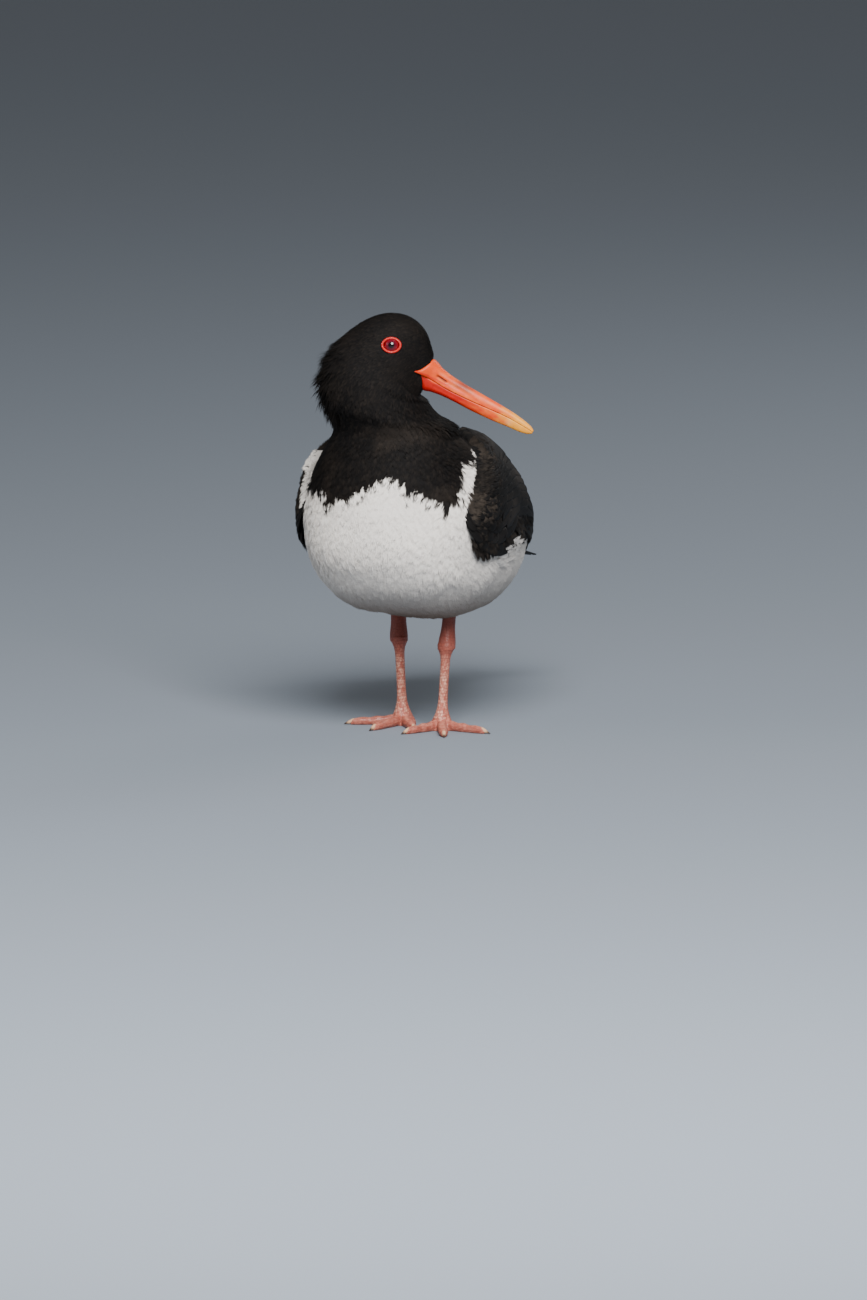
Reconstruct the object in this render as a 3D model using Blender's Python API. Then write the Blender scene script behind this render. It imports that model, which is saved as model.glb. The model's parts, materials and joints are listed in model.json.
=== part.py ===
"""Solids of a life-size Eurasian oystercatcher that stands at rest and looks over its left shoulder.

Run with blender --background --python part.py, or from Blender's text editor. Metres, +Z up.
The bird faces -Y and its left side is at +X. The shape is laid out from the floor point below
the hips, and at the end everything moves so that the origin is on the floor, under the middle
of the bird's box.
"""

import math
from typing import NamedTuple

import bmesh
import bpy
import numpy as np
from mathutils import Matrix, Vector

GAP = 0.0003  # what two touching pieces keep between their faces
RING_MOVES = 3  # rings of a body for each step between two named stations


class Station(NamedTuple):
    """A cross-section of the trunk: its centre in the plane x = 0, how far it leans back from
    upright in degrees, its reach to the side, to the back and to the belly, and how square it
    is on the belly side, where 2 is an ellipse."""

    y: float
    z: float
    lean: float
    half_width: float
    back: float
    belly: float
    fullness: float


class HeadRing(NamedTuple):
    """A cross-section of the neck or head, in the upright plane through the bill: the points on
    the crown side and on the throat side, as reach towards the bill and height, measured from
    the middle of the skull, then the half width and how far it is shifted to the head's left."""

    crown_reach: float
    crown_height: float
    throat_reach: float
    throat_height: float
    half_width: float
    shift: float


class BillSection(NamedTuple):
    """A cross-section of the bill, all in metres from its axis."""

    along: float
    culmen: float
    mouth: float
    keel: float
    half_width: float


class Leg(NamedTuple):
    """Where a leg stands: the middle of its foot, its heel joint, where it leaves the belly, and
    how many degrees its inner, middle and outer toes turn from straight ahead to the bird's left,
    and how wide it is where it leaves the belly, as a share of the usual width."""

    foot: tuple
    heel: tuple
    hip: tuple
    toe_turns: tuple
    thigh_size: float


class Toe(NamedTuple):
    """A toe's length without its claw, and half of its width."""

    length: float
    half_width: float


class VaneRow(NamedTuple):
    """A row of feathers on the wing: how many, the places of their roots and of their tips, the
    share of the way down the wing, each for the first and the last one, and half their width."""

    name: str
    count: int
    roots: tuple
    tips: tuple
    shares: tuple
    half_width: float


# Trunk, from the root of the tail to the base of the neck
TRUNK = (
    Station(0.098, 0.104, 14, 0.0195, 0.0110, 0.0135, 2.2),
    Station(0.076, 0.111, 14, 0.0408, 0.0260, 0.0345, 2.5),
    Station(0.046, 0.120, 16, 0.0530, 0.0410, 0.0522, 2.8),
    Station(0.011, 0.130, 18, 0.0575, 0.0520, 0.0640, 3.0),
    Station(-0.022, 0.141, 24, 0.0592, 0.0530, 0.0665, 3.1),
    Station(-0.044, 0.155, 40, 0.0575, 0.0460, 0.0600, 2.6),
    Station(-0.051, 0.171, 62, 0.0478, 0.0400, 0.0425, 2.2),
    Station(-0.049, 0.184, 80, 0.0388, 0.0352, 0.0345, 2.0),
    Station(-0.047, 0.193, 90, 0.0365, 0.0350, 0.0295, 2.0),
)
TRUNK_SIDES = 36
BACK_FULLNESS = 2.1  # how square the back is, where 2 is an ellipse

# Neck and head, from the base of the neck to the base of the bill
SKULL = Vector((0.0031, -0.0565, 0.238))
HEAD_TURN = 12.0  # degrees from +X towards +Y, which is where the bill points in plan
HEAD_RINGS = (
    HeadRing(-0.0430, -0.0325, 0.0275, -0.0395, 0.0310, 0.007),
    HeadRing(-0.0447, -0.0190, 0.0205, -0.0300, 0.0270, 0.003),
    HeadRing(-0.0408, -0.0036, 0.0180, -0.0266, 0.0235, 0.0),
    HeadRing(-0.0308, 0.0098, 0.0174, -0.0256, 0.0208, 0.0),
    HeadRing(-0.0172, 0.0198, 0.0174, -0.0250, 0.0190, 0.0),
    HeadRing(-0.0030, 0.0243, 0.0176, -0.0245, 0.0160, 0.0),
    HeadRing(0.0105, 0.0222, 0.0180, -0.0240, 0.0120, 0.0),
    HeadRing(0.0202, 0.0135, 0.0185, -0.0234, 0.0088, 0.0),
    HeadRing(0.0253, -0.0012, 0.0190, -0.0226, 0.0070, 0.0),
)
HEAD_SIDES = 28
HEAD_CUT = 2.5  # place at which the neck ends and the head begins, counted from the trunk

# Bill: each section gives the distance along its axis from the feathers over the nostrils, how
# far the culmen, the line of the mouth and the keel are above the axis, and the half width
BILL_ROOT = (0.0230, -0.0139)  # reach and height of the axis there
BILL_DROP = 27.5  # degrees below level
BILL_SECTIONS = (
    BillSection(-0.0090, 0.0006, -0.0006, -0.0024, 0.0118),
    BillSection(-0.0060, 0.0040, -0.0007, -0.0042, 0.0101),
    BillSection(-0.0034, 0.0094, -0.0009, -0.0062, 0.0085),
    BillSection(0.0000, 0.0093, -0.0010, -0.0098, 0.0067),
    BillSection(0.0045, 0.0075, -0.0013, -0.0087, 0.0054),
    BillSection(0.0115, 0.0062, -0.0019, -0.0076, 0.0046),
    BillSection(0.0210, 0.0055, -0.0018, -0.0072, 0.0040),
    BillSection(0.0320, 0.0051, -0.0012, -0.0071, 0.0036),
    BillSection(0.0460, 0.0047, -0.0001, -0.0063, 0.0030),
    BillSection(0.0560, 0.0041, 0.0003, -0.0052, 0.0026),
    BillSection(0.0640, 0.0030, 0.0000, -0.0045, 0.0022),
    BillSection(0.0688, 0.0018, -0.0003, -0.0034, 0.0018),
    BillSection(0.0712, 0.0004, -0.0006, -0.0018, 0.0012),
)
BILL_POINTS = 9  # over each half of a section
BILL_FULLNESS = 0.85  # power of each section's curve, where 1 is an ellipse and less is squarer
NOSTRIL = (0.0073, 0.0023)  # along and above the axis
NOSTRIL_LENGTH = 0.0082
NOSTRIL_HEIGHT = 0.0011
NOSTRIL_DEPTH = 0.0012
NOSTRIL_DROP = 5.0  # degrees below the axis
NOSTRIL_OUTSIDE = 0.4  # share of its depth by which the middle of its cutter is outside the bill

# Eyes and the bare rings round them
EYE = (0.0015, 0.0064)  # reach and height from the middle of the skull
EYE_RADIUS = 0.0056
EYE_SUNK = 0.0039  # from the feathers' surface down to the middle of the eyeball
LID_LONG = 0.0053
LID_TALL = 0.0043
LID_THICK = 0.0010
LID_CORNER = 0.06  # by which the corner at the back is drawn out, as a share
LID_CORNER_POWER = 4  # how narrow that corner is
LID_SIDES = (18, 6)  # round the eye and round the ring itself

# Legs
TIBIA_TOP = 0.0800  # height inside the belly to which it runs before it is cut to the belly
TIBIA_RINGS = ((0.0, 0.0054, 0.0058), (0.15, 0.0053, 0.0056), (0.4, 0.0045, 0.0050),
               (0.7, 0.0045, 0.0054), (1.0, 0.0054, 0.0066))
TARSUS_RINGS = ((0.0, 0.0054, 0.0058), (0.06, 0.0048, 0.0053), (0.12, 0.0034, 0.0041),
                (0.20, 0.0027, 0.0036), (0.6, 0.0026, 0.0034), (0.74, 0.0031, 0.0038),
                (0.83, 0.0044, 0.0052), (0.90, 0.0062, 0.0064), (0.96, 0.0078, 0.0076),
                (1.0, 0.0080, 0.0078))
LEG_SIDES = 14
LEGS = {
    "left": Leg((0.0164, -0.0074), (0.0184, -0.0036, 0.0515), (0.0195, 0.0015), (-28, 23, 76), 0.8),
    "right": Leg((-0.0135, 0.0066), (-0.0163, 0.0069, 0.0535), (-0.0185, 0.0115), (33, -14, -68),
                 1.1),
}
TOES = {"inner": Toe(0.0290, 0.0029), "middle": Toe(0.0330, 0.0031), "outer": Toe(0.0322, 0.0029)}
TOE_RINGS = ((0.0, 0.95, 0.0062), (0.22, 0.98, 0.0060), (0.36, 0.92, 0.0050), (0.5, 1.0, 0.0052),
             (0.62, 0.86, 0.0043), (0.76, 0.96, 0.0045), (0.88, 0.80, 0.0040), (0.96, 0.62, 0.0033),
             (1.0, 0.34, 0.0022))
TOE_SIDES = 10
TOE_ROUND = 0.62  # half the height of a toe's section before it is cut flat, over its own height
CLAW_LENGTH = 0.0062
CLAW_SUNK = 0.0022
CLAW_HEIGHT = 0.0031
CLAW_WIDTH = 0.0027
CLAW_LIFT = 0.0003  # between its point and the floor
CLAW_ARCH = 0.0006  # by which its root is higher than its point
CLAW_PLACES = (0.0, 0.3, 0.6, 0.85, 1.0)
CLAW_TAPER = 0.86  # share of its size that it loses up to the point
CLAW_SIDES = 8

# Wings: places along them count as the trunk's stations do, and go on behind it
WING_REAR = (
    Station(0.182, 0.0882, 14, 0.0060, 0.0032, 0.0028, 2.0),
    Station(0.156, 0.0941, 14, 0.0128, 0.0070, 0.0052, 2.0),
    Station(0.128, 0.0998, 14, 0.0196, 0.0122, 0.0098, 2.1),
    Station(0.101, 0.1053, 14, 0.0298, 0.0190, 0.0160, 2.2),
    Station(0.076, 0.1110, 14, 0.0430, 0.0300, 0.0320, 2.5),
)
WING_FIRST = -3  # place of the first of these
WING_RISE = 0.0042  # from the trunk's surface to the wing's
WING_FRONT = 5.5
WING_BACK = 0.25
WING_UPPER_EDGE = (14, 7, 4, 3, 3, 5, 14, 28, 46, 66)  # degrees from the back, at places -3 to 6
WING_LOWER_EDGE = (93, 93, 93, 93, 93, 93, 96, 104, 112, 106)
WING_EDGE = 0.22  # share of the way down the wing over which each edge comes down to the trunk
WING_UPPER_HEIGHT = 0.35  # share of the rise that is left at the upper edge
WING_LOWER_HEIGHT = 0.60  # share of the rise that is left at the lower edge
WING_FRONT_HEIGHT = 0.15  # share of the rise that is left at the front
WING_FRONT_SLOPE = 0.9  # places over which the front comes down
WING_FREE = 1.0  # place behind which the trunk no longer carries it
WING_SUNK = 0.0090  # of the wing's inner face below its outer one, before the trunk is cut out
WING_THIN = 0.2  # share of that which is left at its rear end
WING_GRID = (12, 7)
VANE_PLACES = (0.0, 0.5, 0.85, 1.0)
VANE_WIDTHS = (0.85, 1.0, 0.80, 0.30)
VANE_THICK = 0.0012
VANE_ROOT_THICK = 0.0006  # by which the root is thicker than the tip
VANE_SUNK = 0.0004  # of the root's upper edge below the wing's surface
VANE_LIFT = 0.0009  # of the tip over the root
VANE_STEP = 0.0012  # by which the edge that shows stands over the next vane
VANE_BOW = (0.0, 0.55, 1.0)  # share of that step at the upper edge, the shaft and the lower edge
VANE_LOWEST = 1.04  # share of the way down the wing that no vane passes
WING_ROWS = (
    VaneRow("lesser coverts", 4, (5.30, 5.25), (4.35, 4.45), (0.14, 0.93), 0.0105),
    VaneRow("median coverts", 5, (4.60, 4.60), (3.65, 3.75), (0.20, 0.95), 0.0104),
    VaneRow("greater coverts", 6, (3.90, 3.95), (2.40, 2.85), (0.24, 0.97), 0.0082),
    VaneRow("secondaries", 5, (2.80, 3.00), (0.90, 1.60), (0.42, 0.96), 0.0080),
    VaneRow("front scapulars", 3, (4.90, 4.80), (3.60, 3.70), (0.04, 0.26), 0.0095),
    VaneRow("rear scapulars", 3, (3.80, 3.80), (2.40, 2.60), (0.03, 0.32), 0.0090),
    VaneRow("tertials", 4, (2.90, 3.00), (-0.90, 0.70), (0.12, 0.46), 0.0084),
    VaneRow("primaries", 6, (1.50, 1.60), (-3.00, -0.90), (0.42, 0.88), 0.0050),
)

# Tail
TAIL_ROOT = (0.086, 0.1056)  # y and height of its upper face
TAIL_DROP = 12.0
TAIL_LENGTH = 0.0900
TAIL_FEATHERS = 5  # on each side
TAIL_FEATHER_WIDTH = 0.0052  # half of it
TAIL_WIDTHS = (0.8, 1.0, 0.9, 0.4)  # shares of that at a vane's places
TAIL_SHORTER = 0.012  # share by which each is shorter than the one above it
TAIL_SPREAD = 0.55  # degrees from one to the next
TAIL_STAGGER = 0.0016  # from one to the next at the root
TAIL_STEP = 0.0006  # down from one to the next
TAIL_SIDE_STEP = 0.3  # share of a step by which the right side lies below the left one
TAIL_BOW = 0.0004  # of the shaft over the edges
TAIL_THICK = 0.0010
# The core under the feathers: share of their length, half width and thickness in the middle
TAIL_CORE = ((0.0, 0.015, 0.013), (0.3, 0.014, 0.009), (0.65, 0.012, 0.0035))
TAIL_CORE_BOW = 0.0022


def clear_scene():
    """Removes every object that the file starts with."""
    for obj in list(bpy.data.objects):
        bpy.data.objects.remove(obj, do_unlink=True)


def make_material(name, colour, roughness, metallic=0.0):
    """A Principled material of one colour."""
    material = bpy.data.materials.new(name)
    material.use_nodes = True
    shader = material.node_tree.nodes["Principled BSDF"]
    shader.inputs["Base Color"].default_value = (*colour, 1.0)
    shader.inputs["Roughness"].default_value = roughness
    shader.inputs["Metallic"].default_value = metallic
    material.diffuse_color = (*colour, 1.0)
    return material


def spline(values, at):
    """Value at place at on a smooth curve through values, which stand at 0, 1, 2 and so on."""
    values = np.asarray(values, float)
    at = np.atleast_1d(np.asarray(at, float))
    first = np.clip(np.floor(at).astype(int), 0, len(values) - 2)
    part = (at - first).reshape((-1,) + (1,) * (values.ndim - 1))
    before = 2 * values[:1] - values[1:2]
    after = 2 * values[-1:] - values[-2:-1]
    padded = np.concatenate([before, values, after])
    p0, p1, p2, p3 = (padded[first + k] for k in range(4))
    return 0.5 * (
        2 * p1
        + (p2 - p0) * part
        + (2 * p0 - 5 * p1 + 4 * p2 - p3) * part**2
        + (3 * p1 - p0 - 3 * p2 + p3) * part**3
    )


def curve_at(places, values, at):
    """Value at place at on a smooth curve through values, which stand at the given places."""
    return spline(values, np.interp(at, places, np.arange(len(places))))


def rounded(angle, fullness):
    """Cosine and sine of an angle from the back, pushed out towards a square as fullness grows."""
    cosine, sine = np.cos(angle), np.sin(angle)
    power = 2.0 / np.where(cosine > 0, BACK_FULLNESS, fullness)
    return np.sign(cosine) * np.abs(cosine) ** power, np.sign(sine) * np.abs(sine) ** power


def trunk_point(stations, at, angle, rise=0.0):
    """Point on a trunk at a place between its stations and an angle from the back, in radians,
    positive towards the left side. It is rise outside the surface."""
    y, z, lean, half_width, back, belly, fullness = spline(stations, at).T
    lean = np.radians(lean)
    up, across = rounded(np.asarray(angle, float), fullness)
    height = np.where(up > 0, back, belly)
    out_across, out_up = across / half_width, up / height
    size = np.hypot(out_across, out_up)
    side = half_width * across + rise * out_across / size
    lift = height * up + rise * out_up / size
    return np.stack([side, y + lift * np.sin(lean), z + lift * np.cos(lean)], axis=-1)


def head_axes():
    """Directions towards the bill in plan, up, and to the head's left."""
    turn = math.radians(HEAD_TURN)
    ahead = Vector((math.cos(turn), math.sin(turn), 0.0))
    up = Vector((0.0, 0.0, 1.0))
    return ahead, up, up.cross(ahead)


def head_point(reach, height, shift=0.0):
    """Point given from the middle of the skull, in the upright plane through the bill."""
    ahead, up, left = head_axes()
    return SKULL + ahead * reach + up * height + left * shift


def head_ring(ring):
    """Points of one of the neck's or head's named cross-sections, from the crown side on."""
    crown = head_point(ring.crown_reach, ring.crown_height, ring.shift)
    throat = head_point(ring.throat_reach, ring.throat_height, ring.shift)
    middle, half = (crown + throat) / 2, (crown - throat) / 2
    left = head_axes()[2] * ring.half_width
    turns = np.linspace(0, 2 * math.pi, HEAD_SIDES, endpoint=False)
    return [middle + half * math.cos(turn) + left * math.sin(turn) for turn in turns]


def head_rings(first, last):
    """Rings of the neck and head between two places, counted from the top of the trunk."""
    turns = np.linspace(0, 2 * math.pi, HEAD_SIDES, endpoint=False)
    top = np.full(HEAD_SIDES, len(TRUNK) - 1.0)
    base = trunk_point(TRUNK, top, turns - math.radians(90 + HEAD_TURN))
    base[:, 2] += GAP
    named = np.array([base] + [head_ring(ring) for ring in HEAD_RINGS])
    return spline(named, np.linspace(first, last, round((last - first) * RING_MOVES) + 1))


def new_object(name, shape, material=None):
    """A mesh object from a bmesh, which is freed."""
    mesh = bpy.data.meshes.new(name)
    shape.to_mesh(mesh)
    shape.free()
    if material:
        mesh.materials.append(material)
    obj = bpy.data.objects.new(name, mesh)
    bpy.context.scene.collection.objects.link(obj)
    return obj


def surface(name, points, faces, material=None):
    """A closed object from points and faces, with its faces turned outwards."""
    shape = bmesh.new()
    corners = [shape.verts.new(point) for point in points]
    for face in faces:
        shape.faces.new([corners[k] for k in face])
    bmesh.ops.recalc_face_normals(shape, faces=shape.faces)
    return new_object(name, shape, material)


def ball(name, place, frame, sizes, segments, rings, material=None):
    """A ball round a place, with half its sizes along the columns of frame."""
    shape = bmesh.new()
    bmesh.ops.create_uvsphere(shape, u_segments=segments, v_segments=rings, radius=1.0)
    bmesh.ops.scale(shape, vec=sizes, verts=shape.verts)
    bmesh.ops.transform(shape, matrix=frame.to_4x4(), verts=shape.verts)
    bmesh.ops.translate(shape, vec=place, verts=shape.verts)
    return new_object(name, shape, material)


def loft(name, rings, material=None):
    """A closed object through rings of as many points each, with a flat face at each end."""
    sides = len(rings[0])
    points = [point for ring in rings for point in ring]
    faces = []
    for ring in range(len(rings) - 1):
        for k in range(sides):
            a, b = ring * sides + k, ring * sides + (k + 1) % sides
            faces.append((a, b, b + sides, a + sides))
    faces.append(tuple(range(sides))[::-1])
    faces.append(tuple(range(len(points) - sides, len(points))))
    return surface(name, points, faces, material)


def replace_mesh(obj, mesh):
    """Gives obj another mesh with the materials of its own."""
    old = obj.data
    mesh.materials.clear()
    for material in old.materials:
        mesh.materials.append(material)
    obj.data = mesh
    bpy.data.meshes.remove(old)


def combine(obj, operation, others, solver="EXACT"):
    """Applies one Boolean of obj with the others, which are then removed."""
    group = bpy.data.collections.new("operands")
    bpy.context.scene.collection.children.link(group)
    for other in others:
        group.objects.link(other)
    modifier = obj.modifiers.new("combine", "BOOLEAN")
    modifier.operation = operation
    modifier.solver = solver
    modifier.operand_type = "COLLECTION"
    modifier.collection = group
    graph = bpy.context.evaluated_depsgraph_get()
    mesh = bpy.data.meshes.new_from_object(obj.evaluated_get(graph))
    obj.modifiers.clear()
    replace_mesh(obj, mesh)
    for other in others:
        bpy.data.objects.remove(other, do_unlink=True)
    bpy.data.collections.remove(group)
    keep_largest(obj)


def keep_largest(obj):
    """Leaves only the largest closed surface of obj."""
    shape = bmesh.new()
    shape.from_mesh(obj.data)
    bmesh.ops.remove_doubles(shape, verts=shape.verts, dist=1e-6)
    left, shells = set(shape.faces), []
    while left:
        shell, edge = set(), [left.pop()]
        while edge:
            face = edge.pop()
            shell.add(face)
            near = {other for loop in face.edges for other in loop.link_faces}
            edge.extend(near & left)
            left -= near
        shells.append(shell)
    shells.sort(key=lambda faces: -sum(face.calc_area() for face in faces))
    loose = [face for shell in shells[1:] for face in shell]
    bmesh.ops.delete(shape, geom=loose, context="FACES")
    shape.to_mesh(obj.data)
    shape.free()


def grown(source, by=GAP):
    """A copy of source whose surface stands out by the gap that touching pieces keep."""
    copy = bpy.data.objects.new("grown", source.data.copy())
    bpy.context.scene.collection.objects.link(copy)
    shape = bmesh.new()
    shape.from_mesh(copy.data)
    shape.normal_update()
    places = [v.co + v.normal * (v.calc_shell_factor() * by) for v in shape.verts]
    for vertex, place in zip(shape.verts, places):
        vertex.co = place
    shape.to_mesh(copy.data)
    shape.free()
    return copy


def shade(obj, angle=40.0):
    """Rounds the shading of obj except across edges sharper than the angle."""
    obj.data.shade_smooth()
    obj.data.set_sharp_from_angle(angle=math.radians(angle))


def build_trunk(material):
    """The feathered trunk, from the root of the tail to the base of the neck."""
    turns = np.linspace(0, 2 * math.pi, TRUNK_SIDES, endpoint=False)
    places = np.linspace(0, len(TRUNK) - 1, (len(TRUNK) - 1) * RING_MOVES + 1)
    rings = [trunk_point(TRUNK, np.full(TRUNK_SIDES, at), turns) for at in places]
    return loft("torso", rings, material)


def build_neck(material):
    """The neck, from the trunk to the back of the head."""
    rings = head_rings(0, HEAD_CUT)
    crown, side, throat = rings[-1][0], rings[-1][HEAD_SIDES // 4], rings[-1][HEAD_SIDES // 2]
    out = np.cross(side - crown, throat - crown)
    out /= np.linalg.norm(out)
    rings[-1] -= out * math.copysign(GAP, out[2])
    return loft("neck", rings, material)


def build_head(material):
    """The head without its bill and eyes."""
    return loft("head", head_rings(HEAD_CUT, len(HEAD_RINGS)), material)


def bill_axes():
    """Directions along the bill, up from it and to its left."""
    ahead, up, left = head_axes()
    drop = math.radians(BILL_DROP)
    axis = ahead * math.cos(drop) - up * math.sin(drop)
    normal = ahead * math.sin(drop) + up * math.cos(drop)
    return axis, normal, left


def build_bill(name, half, material):
    """One half of the bill: +1 is the upper one, from the line of the mouth to the culmen."""
    axis, normal, left = bill_axes()
    rings = []
    for section in BILL_SECTIONS:
        edge = section.culmen if half > 0 else section.keel
        mouth = section.mouth + half * GAP / 2
        middle = head_point(*BILL_ROOT) + axis * section.along
        ring = []
        for turn in np.linspace(0, math.pi, BILL_POINTS):
            across = math.copysign(abs(math.cos(turn)) ** BILL_FULLNESS, math.cos(turn))
            height = mouth + (edge - mouth) * math.sin(turn) ** BILL_FULLNESS
            ring.append(middle + left * section.half_width * across + normal * height)
        rings.append(ring)
    return loft(name, rings, material)


def cut_nostrils(bill):
    """Cuts a slit into each side of the upper half of the bill."""
    axis, normal, left = bill_axes()
    middle = head_point(*BILL_ROOT) + axis * NOSTRIL[0] + normal * NOSTRIL[1]
    places = [section.along for section in BILL_SECTIONS]
    widths = [section.half_width for section in BILL_SECTIONS]
    outside = float(curve_at(places, widths, NOSTRIL[0])[0]) + NOSTRIL_DEPTH * NOSTRIL_OUTSIDE
    sizes = (NOSTRIL_DEPTH * 2, NOSTRIL_LENGTH / 2, NOSTRIL_HEIGHT / 2)
    slits = []
    for side in (1, -1):
        turn = Matrix.Rotation(side * math.radians(NOSTRIL_DROP), 3, "X")
        frame = Matrix((left, axis, normal)).transposed() @ turn
        slits.append(ball("slit", middle + left * side * outside, frame, sizes, 10, 6))
    combine(bill, "DIFFERENCE", slits)


def eye_frame(head, side):
    """Where an eye meets the feathers, and the frame there: ahead, up and out of the head."""
    ahead, up, left = head_axes()
    start = head_point(*EYE, side * 0.1)
    found, place, normal, _ = head.ray_cast(start, left * -side)
    if not found:
        raise ValueError("the head has no surface beside the eye")
    out = (normal + left * side).normalized()
    along = (ahead - out * ahead.dot(out)).normalized()
    return place, Matrix((along, out.cross(along), out)).transposed()


def build_eye(name, place, frame, material):
    """An eyeball, sunk in the head."""
    middle = place - frame.col[2] * EYE_SUNK
    return ball(name, middle, frame, (EYE_RADIUS,) * 3, 14, 9, material)


def build_lid(name, place, frame, material):
    """The bare ring round an eye, drawn out to a blunt corner at the back."""
    around, across = LID_SIDES
    out = Vector((0, 0, 1))
    rings = []
    for turn in np.linspace(0, 2 * math.pi, around, endpoint=False):
        corner = 1 + LID_CORNER * max(0.0, -math.cos(turn)) ** LID_CORNER_POWER
        middle = Vector((LID_LONG * math.cos(turn) * corner, LID_TALL * math.sin(turn), 0))
        aside = Vector((math.cos(turn), math.sin(turn), 0))
        rings.append([
            place + frame @ (middle + LID_THICK * (aside * math.cos(roll) + out * math.sin(roll)))
            for roll in np.linspace(0, 2 * math.pi, across, endpoint=False)
        ])
    faces = []
    for ring in range(around):
        for k in range(across):
            a, b = ring * across + k, ring * across + (k + 1) % across
            c, d = (a + across) % (around * across), (b + across) % (around * across)
            faces.append((a, b, d, c))
    return surface(name, [point for ring in rings for point in ring], faces, material)


def plate(name, top, bottom, material=None):
    """A closed sheet between two grids of points, split into the same triangles on both faces."""
    top, bottom = np.asarray(top, float), np.asarray(bottom, float)
    rows, columns = top.shape[:2]
    under = rows * columns
    faces = []
    for i in range(rows - 1):
        for j in range(columns - 1):
            a = i * columns + j
            b, c, d = a + 1, a + columns + 1, a + columns
            faces += [(a, b, c), (a, c, d)]
            faces += [(under + c, under + b, under + a), (under + d, under + c, under + a)]
    rim = [j for j in range(columns)]
    rim += [i * columns + columns - 1 for i in range(1, rows)]
    rim += [(rows - 1) * columns + j for j in range(columns - 2, -1, -1)]
    rim += [i * columns for i in range(rows - 2, 0, -1)]
    for a, b in zip(rim, rim[1:] + rim[:1]):
        faces += [(b, a, under + a), (b, under + a, under + b)]
    points = np.concatenate([top.reshape(-1, 3), bottom.reshape(-1, 3)])
    return surface(name, points, faces, material)


def wing_stations():
    """Cross-sections of the folded wings' outer surface, from their tips forward."""
    front = tuple(
        station._replace(
            half_width=station.half_width + WING_RISE,
            back=station.back + WING_RISE,
            belly=station.belly + WING_RISE,
        )
        for station in TRUNK[2:7]
    )
    return WING_REAR + front


def smooth(share):
    """0 below 0, 1 above 1 and a smooth rise between."""
    share = np.clip(share, 0, 1)
    return share * share * (3 - 2 * share)


def wing_point(place, share, rise=0.0):
    """Point rise outside the left wing's surface, at a share of the way from its upper edge, 0, to
    its lower edge, 1. The surface comes down to the trunk along its front and its edges."""
    place, share, rise = np.broadcast_arrays(*(np.asarray(v, float) for v in (place, share, rise)))
    shape = place.shape
    place, share, rise = place.ravel(), share.ravel(), rise.ravel()
    at = place - WING_FIRST
    upper, lower = spline(WING_UPPER_EDGE, at), spline(WING_LOWER_EDGE, at)
    turn = np.radians(upper + (lower - upper) * share)
    front = WING_FRONT_HEIGHT + (1 - WING_FRONT_HEIGHT) * smooth((WING_FRONT - place) / WING_FRONT_SLOPE)
    upper_side = WING_UPPER_HEIGHT + (1 - WING_UPPER_HEIGHT) * smooth(share / WING_EDGE)
    lower_side = WING_LOWER_HEIGHT + (1 - WING_LOWER_HEIGHT) * smooth((1 - share) / WING_EDGE)
    carried = np.clip(place - WING_FREE, 0, 1)
    fall = WING_RISE * carried * (1 - front * np.minimum(upper_side, lower_side))
    points = trunk_point(wing_stations(), at, turn, rise - fall)
    return points.reshape(shape + (3,))


def build_vane(row, index):
    """One feather of a row, a thin tapered plate that lies on the wing."""
    part = index / (row.count - 1)
    root, tip, share = (pair[0] + (pair[1] - pair[0]) * part for pair in row[2:5])
    places = root + (tip - root) * np.array(VANE_PLACES)
    middle = wing_point(places, share)
    below = wing_point(places, share + 0.01)
    share_per_metre = 0.01 / np.linalg.norm(below - middle, axis=1)
    reach = row.half_width * np.array(VANE_WIDTHS) * share_per_metre
    shares = np.clip(share + np.array((-1, 0, 1))[None, :] * reach[:, None], 0, VANE_LOWEST)
    along = np.array(VANE_PLACES)[:, None]
    rise = VANE_LIFT * along - VANE_SUNK + VANE_STEP * np.array(VANE_BOW)[None, :]
    thick = VANE_THICK + VANE_ROOT_THICK * (1 - along)
    places = np.repeat(places[:, None], 3, axis=1)
    return plate("vane", wing_point(places, shares, rise), wing_point(places, shares, rise - thick))


def build_wing(material):
    """The folded left wing, with its feathers as overlapping vanes in tiers."""
    rows = np.linspace(WING_FRONT, WING_BACK, WING_GRID[0])[:, None]
    columns = np.linspace(0, 1, WING_GRID[1])[None, :]
    sunk = WING_SUNK * np.clip(WING_THIN + rows - WING_BACK, 0, 1)
    wing = plate("wing_left", wing_point(rows, columns), wing_point(rows, columns, -sunk), material)
    vanes = [build_vane(row, k) for row in WING_ROWS for k in range(row.count)]
    combine(wing, "UNION", vanes, "MANIFOLD")
    return wing


def mirrored(source, name):
    """A copy of source on the other side of the plane x = 0."""
    copy = bpy.data.objects.new(name, source.data.copy())
    bpy.context.scene.collection.objects.link(copy)
    copy.data.transform(Matrix.Diagonal((-1, 1, 1, 1)))
    copy.data.flip_normals()
    return copy


def tail_axes():
    """Directions to the left of the tail, back along it and up from it."""
    drop = math.radians(TAIL_DROP)
    back = Vector((0, math.cos(drop), -math.sin(drop)))
    up = Vector((0, math.sin(drop), math.cos(drop)))
    return Vector((1, 0, 0)), back, up


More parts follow.
